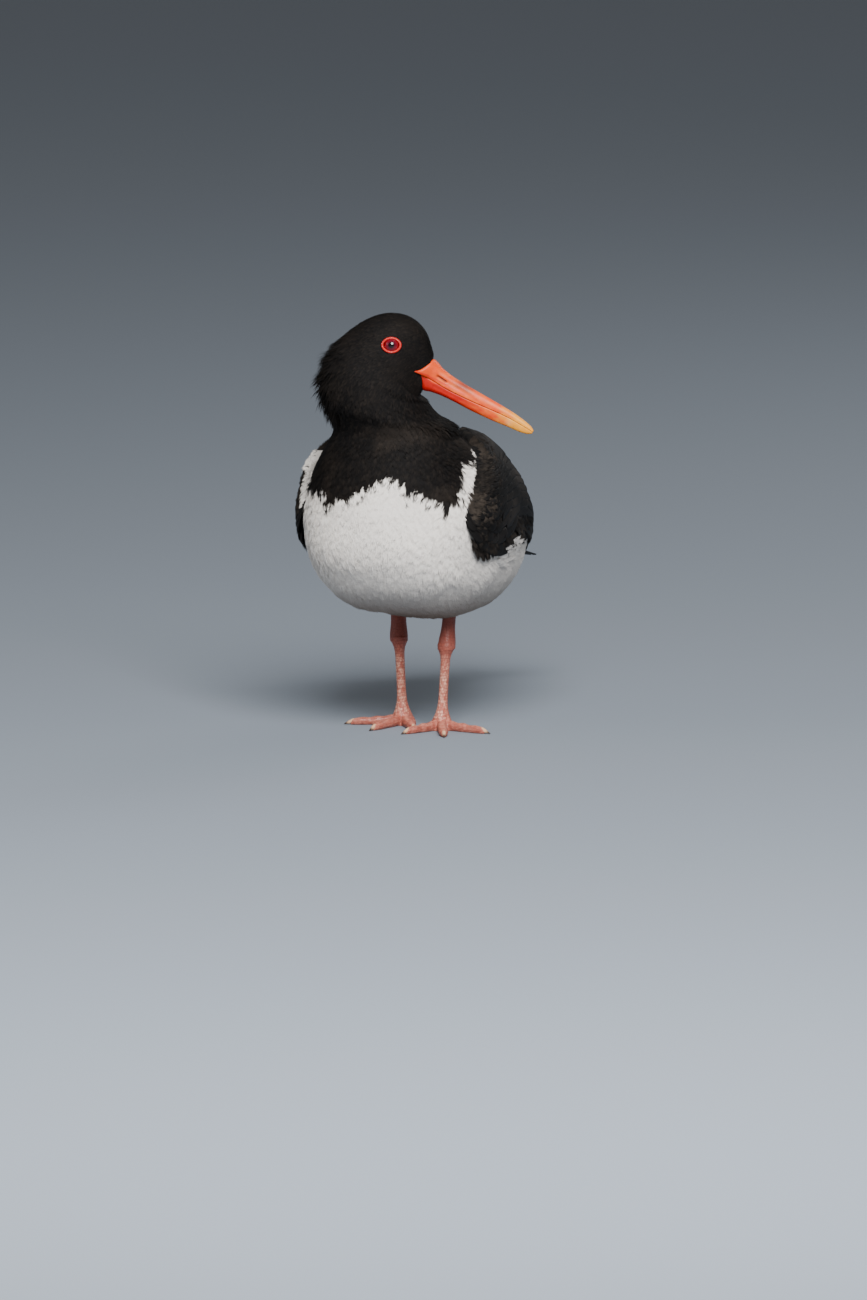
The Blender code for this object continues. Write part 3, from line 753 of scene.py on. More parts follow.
@dataclass(frozen=True)
class PlumageFinish:
    """Soft feathers with a fine mottle."""

    name: str = "plumage"
    roughness: float = 0.7
    grain: float = 900.0
    shade: Triple = (0.86, 0.86, 0.86)

    def build(self) -> Material:
        """Makes the material.

        Returns:
            The material.
        """
        paint = Paint(self.name)
        return paint.finish({
            "Base Color": paint.shaded(paint.noise(self.grain, 2.0).between(0.25, 0.75), self.shade),
            "Roughness": self.roughness,
            "Specular IOR Level": 0.07,
        })


@dataclass(frozen=True)
class VaneFinish:
    """Firm flight feathers, with their barbs as fine slanting ridges."""

    name: str = "vanes"
    roughness: float = 0.6
    barbs: float = 900.0
    slant: float = 1.1
    grain: float = 160.0
    shade: Triple = (0.72, 0.72, 0.74)
    depth: float = 0.00015

    def build(self) -> Material:
        """Makes the material.

        Returns:
            The material.
        """
        paint = Paint(self.name)
        leaf = paint.add("ShaderNodeAttribute", {"attribute_name": "leaf"}).outputs["Vector"]
        split = paint.add("ShaderNodeSeparateXYZ", {}, {0: leaf}).outputs
        along, across = Signal(paint, split[0]), Signal(paint, split[1])
        ridges = ((along - across.size() * self.slant) * self.barbs * 2 * math.pi).sine()
        uneven = paint.noise(self.grain, 4.0)
        return paint.finish({
            "Base Color": paint.shaded(uneven.between(0.3, 0.75), self.shade),
            "Roughness": self.roughness,
            "Normal": paint.bump(ridges * 0.25 + uneven, self.depth, 0.5),
            "Specular IOR Level": 0.12,
        })


@dataclass(frozen=True)
class HornFinish:
    """Horn with a soft sheen."""

    name: str
    roughness: float = 0.45
    coat: float = 0.04
    grain: float = 500.0
    shade: Triple = (0.84, 0.80, 0.80)
    depth: float = 0.00008

    def build(self) -> Material:
        """Makes the material.

        Returns:
            The material.
        """
        paint = Paint(self.name)
        grain = paint.noise(self.grain, 4.0)
        return paint.finish({
            "Base Color": paint.shaded(grain.between(0.3, 0.7), self.shade),
            "Roughness": grain * 0.2 + (self.roughness - 0.1),
            "Coat Weight": self.coat,
            "Coat Roughness": 0.25,
            "Specular IOR Level": 0.25,
            "Normal": paint.bump(grain, self.depth),
        })


@dataclass(frozen=True)
class EyeFinish:
    """A wet eyeball, whose iris and pupil are stored at each point."""

    name: str = "eye"
    roughness: float = 0.12
    coat: float = 0.3

    def build(self) -> Material:
        """Makes the material.

        Returns:
            The material.
        """
        paint = Paint(self.name)
        return paint.finish({
            "Base Color": paint.tint(),
            "Roughness": self.roughness,
            "Coat Weight": self.coat,
            "Coat Roughness": 0.03,
            "Specular IOR Level": 0.4,
        })


@dataclass(frozen=True)
class SkinFinish:
    """Bare skin with fine scales."""

    name: str
    scale: float = 900.0
    depth: float = 0.00012
    roughness: float = 0.42
    shade: Triple = (0.70, 0.55, 0.52)
    coat: float = 0.08

    def build(self) -> Material:
        """Makes the material.

        Returns:
            The material.
        """
        paint = Paint(self.name)
        values = {"Vector": paint.place(), "Scale": self.scale}
        cells = paint.add("ShaderNodeTexVoronoi", {"feature": "DISTANCE_TO_EDGE"}, values)
        edge = Signal(paint, cells.outputs["Distance"]).between(0.0, 0.12)
        return paint.finish({
            "Base Color": paint.shaded(edge, self.shade),
            "Roughness": self.roughness,
            "Normal": paint.bump(edge, self.depth),
            "Coat Weight": self.coat,
        })


@dataclass(frozen=True)
class PlainFinish:
    """One even colour."""

    name: str
    colour: Triple
    roughness: float = 0.7

    def build(self) -> Material:
        """Makes the material."""
        values = {"Base Color": (*self.colour, 1.0), "Roughness": self.roughness}
        return Paint(self.name).finish(values)


# Plumage


@dataclass(frozen=True)
class Markings:
    """Where the plumage is black and where it is white, and how each varies.

    The lower edge of the black breast is a height for each bearing round the bird, in degrees from
    straight ahead to its left, and black wisps hang below it. The mantle is what lies above a height,
    within a share of what it rises there, and behind a place; it ends at the rump. Between the two
    heights of the belly the white darkens with painted shade towards the underside.
    """

    black: Triple = (0.0045, 0.0043, 0.0045)
    brown: Triple = (0.020, 0.0155, 0.0125)
    worn: Triple = (0.044, 0.035, 0.028)
    white: Triple = (0.92, 0.865, 0.80)
    # Painted shade: the colour that the white darkens to towards the underside of the belly.
    belly_shade: Triple = (0.17, 0.130, 0.100)
    edge: Table = (
        (-180, 0.174), (-60, 0.178), (-50, 0.174), (-45, 0.160), (-40, 0.152), (-25, 0.150),
        (-14, 0.1475), (-6, 0.152), (2, 0.161), (8, 0.164), (14, 0.159), (22, 0.153), (28, 0.149),
        (34, 0.1495), (39, 0.1550), (42, 0.168), (60, 0.1715), (180, 0.1715),
    )
    wisps: float = 0.010
    mantle: Triple = (0.128, 0.55, -0.03)
    rump: float = 0.052
    belly: tuple[float, float] = (0.104, 0.062)

    def white_share(self, roots: Array, luck: Array) -> Array:
        """How white the feathers with these roots are, from 0 to 1.

        Args:
            roots: places of the roots.
            luck: a random number from 0 to 1 for each.

        Returns:
            One share for each root.
        """
        x, y, z = roots.T
        border = np.interp(np.degrees(np.arctan2(x, -y)), *np.array(self.edge).T)
        uneven = waves(roots * (1, 1, 0.4), 0.006, 3) * 0.0026 + 0.002 - luck**3 * self.wisps
        front = step(-0.0006, 0.0006, border + uneven - z)
        low, share, ahead = self.mantle
        back = step(-0.001, 0.001, y + uneven * 2 - self.rump)
        return np.where((np.abs(x) < share * (z - low)) & (y > ahead), back, front)

    def tint(self, roots: Array, luck: Array, along: Array, white: float | None = None) -> Array:
        """Colours of feathers, which are worn in patches and more so below, with painted shade that
        darkens the white towards the underside of the belly.

        Args:
            roots: where each of them shows.
            luck: a random number from 0 to 1 for each.
            along: how far along the feather the point is, from 0 to 1.
            white: how white all of them are, or nothing to take it from where they show.

        Returns:
            One colour for each point.
        """
        worn = (0.5 - 0.3 * step(0.19, 0.22, roots[:, 2])) * np.clip(waves(roots, 0.013, 9), 0, 1)
        dull = self.brown if white is None else self.worn
        white = self.white_share(roots, luck) if white is None else np.full(len(roots), white)
        sooty = blend_colours(self.black, dull, np.clip(luck**2 * 0.5 + 0.25 * along - 0.1 + worn, 0, 1))
        # Painted shade: the white darkens towards the underside of the belly.
        low = step(*self.belly, roots[:, 2]) + 0.06 * luck
        pale = blend_colours(self.white, self.belly_shade, np.clip(low, 0, 1))
        pale = pale * (0.90 + 0.10 * along + 0.05 * (luck - 0.5))[:, None]
        return sooty * (1 - white[:, None]) + pale * white[:, None]


@dataclass(frozen=True)
class Tuft:
    """One small feather one long and one wide, as strips of barbs that part at their tips.

    It has that many strips of that many steps each, and its strips part by a share of its width.
    """

    strips: int
    steps: int
    parting: float

    def build(self, name: str, seed: int) -> Object:
        """Makes the feather.

        Args:
            name: its object's name.
            seed: what varies it.

        Returns:
            The object, outside the scene.
        """
        draw = np.random.default_rng(seed)
        points, faces, leaves = [], [], []
        for k in range(self.strips):
            offset = 0.0 if self.strips == 1 else 2 * k / (self.strips - 1) - 1
            length = 1 - 0.30 * offset**2 - draw.uniform(0, 0.14)
            yaw = draw.normal(0, 0.03)
            first = len(points)
            for j in range(self.steps + 1):
                x = length * j / self.steps
                middle = 0.5 * offset * x**0.7 * (1.18 - 0.45 * x + self.parting * x**3) + yaw * x
                half = 0.75 / self.strips * (0.55 + 0.75 * x) * (1 - (j / self.steps) ** 3)
                height = 1 - (1 - x) ** 2 - 0.06 * offset**2 * x
                sides = (0.0,) if j == self.steps else (-1.0, 1.0)
                for side in sides:
                    points.append((x, middle + half * side, height + 0.012 * draw.normal()))
                    leaves.append((x, middle + half * side, offset))
            for j in range(self.steps - 1):
                a = first + 2 * j
                faces.append((a, a + 2, a + 3, a + 1))
            tip = first + 2 * self.steps
            faces.append((tip - 2, tip, tip - 1))
        mesh = bpy.data.meshes.new(name)
        mesh.from_pydata(points, [], faces)
        put_attribute(mesh, "leaf", np.array(leaves))
        shade_smooth(mesh)
        return bpy.data.objects.new(name, mesh)


class TuftKind(Enum):
    """The kinds of small feather."""

    FINE = Tuft(3, 3, 0.1)
    SOFT = Tuft(7, 3, 0.2)
    LOOSE = Tuft(9, 3, 0.3)


@dataclass(frozen=True)
class Tract:
    """A stretch of the skin that carries one kind of small feather.

    It runs between two places, at that spacing in metres, and has a slot, which is not used.
    """

    name: str
    first: float
    last: float
    spacing: float
    kind: TuftKind
    slot: str


@dataclass(frozen=True)
class Edging:
    """Small feathers over a strip of the wing, whose tract has the wing's places.

    It spans those shares of the way down. Its feathers have a length, a width and a depth, lie along
    aim and stand up by lift in radians. They are white or black, rise over the wing and fall in
    beyond its lower edge. Ragged ones are patchy and thin out at both ends.
    """

    tract: Tract
    shares: tuple[float, float]
    size: Triple
    aim: Triple
    lift: float
    white: float
    rise: float = 0.001
    fall: float = 0.0025
    ragged: bool = False
    sides: tuple[int, ...] = (1, -1)


class CoatNodes(Graph):
    """The geometry nodes that scatter feathers over a skin and lay them along it."""

    def __init__(self, finish: Material) -> None:
        """Builds the tree.

        Args:
            finish: what the feathers wear.
        """
        super().__init__(bpy.data.node_groups.new("coat", "GeometryNodeTree"))
        self.finish = finish
        sockets = {
            "Skin": "Geometry", "Spacing": "Float", "Density": "Float", "Seed": "Int",
            "Feathers": "Collection", "Finish": "Material",
        }
        for name, kind in sockets.items():
            self.tree.interface.new_socket(name=name, in_out="INPUT", socket_type="NodeSocket" + kind)
        self.tree.interface.new_socket(name="Coat", in_out="OUTPUT", socket_type="NodeSocketGeometry")
        given = self.add("NodeGroupInput").outputs
        points = self.add("GeometryNodeDistributePointsOnFaces", {"distribute_method": "POISSON"}, {
            "Mesh": given["Skin"],
            "Distance Min": given["Spacing"],
            "Density Max": given["Density"],
            "Density Factor": self.named("cover", "FLOAT"),
            "Seed": given["Seed"],
        }).outputs["Points"]
        points = self.store(points, "spot", self.named("OFBake"))
        luck = self.chance(given["Seed"], (0.0,) * 3, (1.0,) * 3)
        points = self.store(points, "luck", luck)
        unmapped = {"Geometry": points, "Name": "OFBake"}
        points = self.add("GeometryNodeRemoveAttribute", {}, unmapped).outputs[0]
        turned = self.add("FunctionNodeAxesToRotation", {"primary_axis": "Z", "secondary_axis": "X"}, {
            "Primary Axis": self.named("out"),
            "Secondary Axis": self.named("lie"),
        }).outputs[0]
        spread = self.chance(given["Seed"], (-1.0,) * 3, (1.0,) * 3, 1)
        angles = self.add("ShaderNodeVectorMath", {"operation": "MULTIPLY_ADD"}, {
            0: spread,
            1: self.named("spread"),
            2: self.named("pose"),
        }).outputs[0]
        rotation = self.add("FunctionNodeRotateRotation", {"rotation_space": "LOCAL"}, {
            "Rotation": turned,
            "Rotate By": self.add("FunctionNodeEulerToRotation", {}, {0: angles}).outputs[0],
        }).outputs[0]
        size = self.add("ShaderNodeVectorMath", {"operation": "MULTIPLY"}, {
            0: self.named("size"),
            1: self.chance(given["Seed"], (0.8, 0.8, 0.97), (1.2, 1.2, 1.03), 2),
        }).outputs[0]
        feathers = self.add("GeometryNodeCollectionInfo", {}, {
            "Collection": given["Feathers"],
            "Separate Children": True,
            "Reset Children": True,
        }).outputs[0]
        laid = self.add("GeometryNodeInstanceOnPoints", {}, {
            "Points": points,
            "Instance": feathers,
            "Pick Instance": True,
            "Rotation": rotation,
            "Scale": size,
        }).outputs[0]
        real = self.add("GeometryNodeRealizeInstances", {}, {"Geometry": laid}).outputs[0]
        dressed = {"Geometry": real, "Material": given["Finish"]}
        self.add("NodeGroupOutput", {}, {0: self.add("GeometryNodeSetMaterial", {}, dressed).outputs[0]})

    def named(self, name: str, kind: str = "FLOAT_VECTOR") -> NodeSocket:
        """What is stored under a name."""
        node = self.add("GeometryNodeInputNamedAttribute", {"data_type": kind}, {"Name": name})
        return pick(node.outputs, "Attribute")

    def store(self, points: Any, name: str, value: Any) -> NodeSocket:
        """Stores a vector under a name at each point.

        Args:
            points: the points.
            name: the name.
            value: the vector.

        Returns:
            The points with it.
        """
        settings = {"data_type": "FLOAT_VECTOR", "domain": "POINT"}
        values = {"Geometry": points, "Name": name, "Value": value}
        return self.add("GeometryNodeStoreNamedAttribute", settings, values).outputs[0]

    def chance(self, seed: Any, low: Any, high: Any, add: int = 0) -> NodeSocket:
        """Random vectors.

        Args:
            seed: what varies them.
            low: their lower bounds.
            high: their upper bounds.
            add: what is added to the seed.

        Returns:
            A vector for each point.
        """
        if add:
            seed = self.add("ShaderNodeMath", {"operation": "ADD"}, {0: seed, 1: float(add)}).outputs[0]
        values = {"Min": low, "Max": high, "Seed": seed}
        node = self.add("FunctionNodeRandomValue", {"data_type": "FLOAT_VECTOR"}, values)
        return pick(node.outputs, "Value")

    def run(self, obj: Object, values: dict[str, Any]) -> Mesh:
        """The coat that the tree lays on an object.

        Args:
            obj: the skin.
            values: what the named inputs take.

        Returns:
            The coat as a plain mesh.
        """
        modifier = obj.modifiers.new("coat", "NODES")
        modifier.node_group = self.tree
        for item in self.tree.interface.items_tree:
            if item.name in values:
                modifier[item.identifier] = values[item.name]
            elif item.name == "Finish":
                modifier[item.identifier] = self.finish
        graph = bpy.context.evaluated_depsgraph_get()
        mesh = bpy.data.meshes.new_from_object(obj.evaluated_get(graph))
        obj.modifiers.clear()
        return mesh


@dataclass(frozen=True)
class Plumage:
    """The skin and the small feathers on it.

    Depths, lengths and widths of the feathers are in mm for places along the body, and the flow is
    the direction in which they lie there. Softness is the share of the body's own smooth outward
    direction in how a feather catches the light.
    """

    body: Body
    markings: Markings
    bill: "Bill"
    eyes: tuple["Eye", ...]
    wing: "Wing"
    tracts: tuple[Tract, ...] = (
        Tract("coat_face", 13.4, 17.0, 0.00048, TuftKind.FINE, "plumage_black"),
        Tract("coat_crown", 10.4, 13.5, 0.00060, TuftKind.FINE, "plumage_black"),
        Tract("coat_neck", 7.8, 10.5, 0.00090, TuftKind.SOFT, "plumage_black"),
        Tract("coat_bib", 5.9, 7.9, 0.00095, TuftKind.SOFT, "plumage_black"),
        Tract("coat_breast", 4.3, 6.0, 0.00155, TuftKind.LOOSE, "plumage_white"),
        Tract("coat_belly", 2.4, 4.4, 0.00165, TuftKind.LOOSE, "plumage_white"),
        Tract("coat_rear", 0.0, 2.5, 0.00165, TuftKind.LOOSE, "plumage_white"),
    )
    edgings: tuple[Edging, ...] = (
        Edging(Tract("coverts_front", 4.35, 5.62, 0.0010, TuftKind.SOFT, "plumage_black"),
               (-0.10, 1.0), (0.0085, 0.0042, 0.0026), (0.0, 0.9, -0.45), 0.02, 0.0, 0.0008),
        Edging(Tract("coverts_edge", 2.0, 4.3, 0.0016, TuftKind.LOOSE, "plumage_black"),
               (0.90, 1.0), (0.0090, 0.0034, 0.0022), (0.0, 0.9, -0.5), 0.10, 0.0, 0.0010, ragged=True),
        Edging(Tract("coverts_low", 3.9, 5.1, 0.0014, TuftKind.LOOSE, "plumage_black"),
               (0.92, 1.06), (0.0090, 0.0036, 0.0024), (0.0, 0.5, -0.9), 0.06, 0.0, 0.0012, ragged=True),
        Edging(Tract("coverts_rear", -0.2, 2.2, 0.0012, TuftKind.SOFT, "plumage_black"),
               (0.92, 1.08), (0.0070, 0.0030, 0.0022), (0.0, 0.7, -0.7), 0.03, 0.0, 0.0010, ragged=True),
        Edging(Tract("flank", 2.8, 3.9, 0.0012, TuftKind.LOOSE, "plumage_white"),
               (1.0, 1.14), (0.0110, 0.0045, 0.0032), (0.0, 1.0, 0.30), 0.10, 1.0, 0.0012, ragged=True),
        Edging(Tract("shoulder", 5.1, 5.8, 0.0010, TuftKind.SOFT, "plumage_white"),
               (0.28, 0.55), (0.0070, 0.0038, 0.0026), (0.0, 0.7, -0.7), 0.02, 1.0, 0.0024, sides=(-1,)),
        Edging(Tract("shoulder_low", 5.35, 5.85, 0.0009, TuftKind.SOFT, "plumage_white"),
               (0.50, 1.0), (0.0050, 0.0030, 0.0022), (0.0, 0.2, -1.0), 0.01, 1.0, 0.0016, sides=(-1,)),
    )
    softness: float = 0.75
    depths: Table = (
        (0, 3.2), (1, 3.8), (5, 3.8), (8, 3.2), (10, 2.6), (12, 1.9), (14, 1.4), (16, 0.9), (17, 0.5)
    )
    lengths: Table = (
        (0, 13), (1, 15), (4, 14), (6, 11), (8, 9), (9.5, 8), (11, 6.2), (13, 4.6), (15, 3.6), (16.5, 2.4),
        (17, 1.6),
    )
    widths: Table = ((0, 7.0), (4, 7.5), (6, 5.4), (8, 3.6), (11, 2.4), (13, 1.8), (15, 1.4), (17, 0.9))
    flow: Table = (
        (0.0, 0.0, 1.0, -0.25), (2.5, 0.0, 1.0, -0.35), (4.5, 0.0, 0.8, -0.7),
        (6.0, 0.0, 0.55, -0.9), (8.0, 0.0, 0.3, -1.0), (9.5, -0.15, 0.1, -1.0),
        (11.0, -0.45, 0.0, -0.9), (13.0, -0.85, -0.18, -0.5), (15.0, -0.95, -0.2, -0.3),
        (17.0, -0.97, -0.2, -0.1),
    )

    def lie(self, places: Array, grid: Array, out: Array) -> Array:
        """Directions along the surface in which the feathers lie: the flow, drawn in over the breast.

        Args:
            places: places of the rings.
            grid: the surface's points.
            out: its outward directions.

        Returns:
            One direction for each point.
        """
        table = np.array(self.flow)
        aim = unit(curve_at(table[:, 0], table[:, 1:], places))[:, None, :]
        breast = (step(4.0, 5.4, places) * step(7.6, 6.6, places))[:, None] * step(-0.02, -0.05, grid[..., 1])
        aim = aim - (breast * np.clip(grid[..., 0] / 0.05, -0.9, 0.9))[..., None] * (1, 0, 0)
        return unit(aim - out * (aim * out).sum(axis=-1, keepdims=True))

    def depth(self, places: Array, turns: Array) -> Array:
        """How deep the skin lies under the tips of the feathers, less so at the throat.

        Args:
            places: places of the rings.
            turns: turns of the points of a ring.

        Returns:
            A depth for each point.
        """
        deep = np.interp(places, *np.array(self.depths).T)
        throat = step(9.0, 11.0, places)[:, None] * step(-0.2, -0.9, np.cos(turns))[None, :]
        return deep[:, None] * 0.001 * (1 - 0.45 * throat)

    def build(self, finish: Material) -> list[Object]:
        """Makes the skin and each tract's coat.

        Args:
            finish: the feathers' finish.

        Returns:
            The skin, then the coats.
        """
        grid = self.body.grid()
        places, turns = self.body.places(), self.body.turns()
        swell = 0.0006 * waves(grid, 0.022, 8) * (step(0.5, 2.5, places) * step(9.0, 6.5, places))[:, None]
        shoulder = bell(places, 7.1, 0.9)[:, None] * bell(turns, 2.9, 0.35)[None, :]
        grid = grid + grid_normals(grid, 6) * (swell + 0.0040 * shoulder)[..., None]
        out = grid_normals(grid, 6)
        lie = self.lie(places, grid, out)
        depth = self.depth(places, turns)
        skin = grid - out * depth[..., None]
        length = np.linalg.norm(np.diff(grid.mean(axis=1), axis=0), axis=1)
        along = np.concatenate([[0], np.cumsum(np.maximum(length, 0.0006))])
        across = np.arange(self.body.sides) / self.body.sides
        chart = 0.01 + 0.98 * pairs(along / along[-1], across)[..., ::-1]
        facts = self.facts(grid, places, turns, depth)
        facts.update(out=out, lie=lie, soft=grid_normals(grid, 14), bend=bending(grid, out, lie))
        facts["seen"] = grid + lie * facts["size"][..., :1] * SEEN
        pieces = [self.build_skin(skin, chart, finish)]
        nodes = CoatNodes(finish)
        for number, tract in enumerate(self.tracts):
            rows = np.where((places >= tract.first - 0.04) & (places <= tract.last))[0]
            part = slice(rows[0], rows[-1] + 1)
            values = {name: value[part] for name, value in facts.items()}
            pieces.append(self.build_coat(tract, skin[part], chart[part], values, nodes, SEED + number))
        for number, edging in enumerate(self.edgings):
            for side in edging.sides:
                pieces.append(self.build_edging(edging, side, nodes, SEED * 3 + number))
        bpy.data.node_groups.remove(nodes.tree)
        return pieces

    def build_edging(self, edging: Edging, side: int, nodes: CoatNodes, seed: int) -> Object:
        """Lays small feathers over a strip of a wing.

        Args:
            edging: the strip.
            side: 1 for the left wing, -1 for the right one.
            nodes: the tree that lays them.
            seed: what varies them.

        Returns:
            The feathers.
        """
        shape = (60, 30)
        rows = np.linspace(edging.tract.last, edging.tract.first, shape[0])[:, None]
        columns = np.linspace(*edging.shares, shape[1])[None, :]
        beyond = edging.fall * step(0.98, 1.12, columns)
        outer = self.wing.point(rows, columns, edging.rise - beyond - 0.0022 * step(5.1, 5.7, rows))
        out = unit(np.cross(np.gradient(outer, axis=0), np.gradient(outer, axis=1)))
        out = out * np.sign((out * (outer - (0, 0, 0.12)) * (1, 0, 1)).sum(axis=-1, keepdims=True))
        lie = unit(edging.aim - out * (out @ np.array(edging.aim))[..., None])
        turned = np.array((side, 1, 1))
        outer, out, lie = outer * turned, out * turned, lie * turned
        flat = np.ones(shape)
        away = np.abs(rows - rows.mean()) / np.ptp(rows)
        ends = step(0.5, 0.25, away + 0.15 * np.linspace(0, 1, shape[1]))
        values = {
            "size": flat[..., None] * edging.size,
            "pose": flat[..., None] * (0.0, -edging.lift, 0.0),
            "spread": flat[..., None] * (0.06, 0.05, 0.22),
            "cover": np.clip(0.6 + 0.5 * waves(outer, 0.008, seed), 0, 1) * ends if edging.ragged else flat,
            "out": out,
            "soft": out,
            "lie": lie,
            "bend": bending(outer, out, lie, False),
            "seen": outer + lie * edging.size[0] * SEEN,
        }
        chart = pairs(*(np.linspace(0.02, 0.97, count) for count in shape))
        tract = replace(edging.tract, name=f"{edging.tract.name}_{'left' if side > 0 else 'right'}")
        skin = outer - out * edging.size[2]
        return self.build_coat(tract, skin, chart, values, nodes, seed, False, edging.white)

    def facts(self, grid: Array, places: Array, turns: Array, depth: Array) -> dict[str, Array]:
        """What the feathers do at each point of the skin, where those of the nape are long and ruffled.

        Args:
            grid: the outer surface.
            places: places of its rings.
            turns: turns of its columns.
            depth: the coat's depth at each point.

        Returns:
            The size, pose, spread and cover of the feathers.
        """
        shape = grid.shape[:2]
        long = np.interp(places, *np.array(self.lengths).T)
        wide = np.interp(places, *np.array(self.widths).T)
        nape = step(8.2, 8.9, places) * step(12.6, 11.2, places)
        nape = nape[:, None] * step(0.55, 0.92, np.cos(turns))[None, :]
        long = np.broadcast_to(long[:, None], shape) * (1 + 0.8 * nape)
        wide = np.broadcast_to(wide[:, None], shape) * (1 - 0.45 * nape)
        size = np.stack([long * 0.001, wide * 0.001, depth * 0.96], axis=-1)
        pose = np.zeros(shape + (3,))
        pose[..., 1] = -(0.22 + 0.55 * np.clip(waves(grid, 0.0045, 2), 0, 1)) * nape
        spread = np.zeros(shape + (3,))
        spread[...] = (0.03, 0.012, 0.13)
        spread[..., 1] += 0.10 * nape
        cover = np.ones(shape)
        for eye in self.eyes:
            cover *= 1 - eye.covers(grid)
        cover *= 1 - self.bill.covers(grid)
        cover *= 1 - 0.9 * self.wing.covers(places, turns, math.radians(90 + self.body.head.turn))
        return {"size": size, "pose": pose, "spread": spread, "cover": cover}

    def build_skin(self, skin: Array, chart: Array, finish: Material) -> Object:
        """Makes the one closed skin of trunk, neck and head.

        Args:
            skin: its points.
            chart: their places on the unwrap.
            finish: its finish.

        Returns:
            The skin.
        """
        points = skin.reshape(-1, 3)
        half = np.full(len(points), 0.5)
        shape = Shape()
        shape.add(points, tube_faces(*skin.shape[:2]), self.markings.tint(points, half, half), uv=chart)
        return shape.build("skin", finish)

    def build_coat(
        self, tract: Tract, skin: Array, chart: Array, values: dict[str, Array], nodes: CoatNodes, seed: int,
        closed: bool = True, white: float | None = None,
    ) -> Object:
        """Lays one tract's feathers.

        Args:
            tract: the stretch of skin.
            skin: its points.
            chart: their places on the unwrap.
            values: what the feathers do at each point.
            nodes: the tree that lays them.
            seed: what varies them.
            closed: whether the skin closes on itself round the body.
            white: how white all of them are, or nothing to take it from where they show.

        Returns:
            The coat.
        """
        mesh = bpy.data.meshes.new(tract.name)
        mesh.from_pydata(skin.reshape(-1, 3).tolist(), [], quads(*skin.shape[:2], wrap=closed).tolist())
        for name, value in values.items():
            put_attribute(mesh, name, value.reshape(-1, 3) if value.ndim == 3 else value.ravel())
        self.chart_corners(mesh, chart.reshape(-1, 2))
        base = link("base", mesh)
        feathers = bpy.data.collections.new("feathers")
        for k in range(4):
            feathers.objects.link(tract.kind.value.build(f"feather_{k}", seed * 10 + k))
        density = 1.6 / tract.spacing**2
        inputs = {"Spacing": tract.spacing, "Density": density, "Seed": seed, "Feathers": feathers}
        coat = nodes.run(base, inputs)
        for feather in list(feathers.objects):
            bpy.data.objects.remove(feather)
        bpy.data.collections.remove(feathers)
        bpy.data.objects.remove(base)
        return self.dress(tract, coat, white)

    @staticmethod
    def chart_corners(mesh: Mesh, chart: Array) -> None:
        """Writes the unwrap of a skin that closes on itself, without a smear at its seam.

        Args:
            mesh: the skin, in faces of four corners.
            chart: a place on the unwrap for each point.
        """
        places = chart[corner_points(mesh)].reshape(-1, 4, 2)
        wrapped = (places[..., 0].max(axis=1) - places[..., 0].min(axis=1)) > 0.5
        low = wrapped[:, None] & (places[..., 0] < 0.5)
        places[..., 0] += low * 0.98
        mesh.uv_layers.new(name="OFBake").data.foreach_set("uv", places.astype(np.float32).ravel())

    def dress(self, tract: Tract, mesh: Mesh, white: float | None) -> Object:
        """Colours a coat, bends its feathers with the body and moves it to the frame's origin.

        Args:
            tract: the stretch of skin that it grows on.
            mesh: the coat as it was laid.
            white: how white all of it is, or nothing to take it from where it shows.

        Returns:
            The coat.
        """
        names = ("seen", "luck", "spot", "soft", "out", "bend", "size", "leaf")
        stored = [read(mesh.attributes[name].data, "vector") for name in names]
        seen, luck, spot, soft, out, bend, size, leaf = stored
        put_attribute(mesh, "tint", self.markings.tint(seen, luck[:, 0], leaf[:, 0], white))
        while mesh.uv_layers:
            mesh.uv_layers.remove(mesh.uv_layers[0])
        put_uv(mesh, spot[:, :2] + (leaf[:, :2] - (0.5, 0.0)) * 0.003)
        drop = (bend[:, :2] * (leaf[:, :2] * size[:, :2]) ** 2).sum(axis=1) / 2
        points = ORIGIN.move(read(mesh.vertices, "co") - out * drop[:, None])
        drop_attributes(mesh, (*names[:-1], "pose", "spread", "cover", "lie"))
        set_points(mesh, points)
        blend = unit(read(mesh.vertices, "normal") * (1 - self.softness) + soft * self.softness)
        mesh.normals_split_custom_set_from_vertices(blend.tolist())
        mesh.name = tract.name
        obj = link(tract.name, mesh)
        return obj


# Wings and tail


VANE_ALONG = (0, 0.08, 0.2, 0.35, 0.5, 0.63, 0.74, 0.83, 0.9, 0.95, 0.985, 1.0)
VANE_ACROSS = (-1, -0.7, -0.35, -0.06, 0.06, 0.35, 0.7, 1.0)
PLATE_ALONG = (0, 0.15, 0.3, 0.45, 0.55, 0.6, 0.65, 0.75, 0.85, 0.92, 0.97, 1.0)
PLATE_ACROSS = (-1, -0.6, -0.3, -0.05, 0.05, 0.3, 0.6, 1.0)


@dataclass(frozen=True)
class VaneRow:
    """A row of large feathers.

    The places of their roots and of their tips and their shares of the way down the wing are each
    for the first and the last one. They have half a width, stand out by rise, and are more or less
    pointed and pale-edged.
    """

    count: int
    roots: tuple[float, float]
    tips: tuple[float, float]
    shares: tuple[float, float]
    half_width: float
    rise: float = 0.0
    pointed: float = 0.3
    fringe: float = 0.5


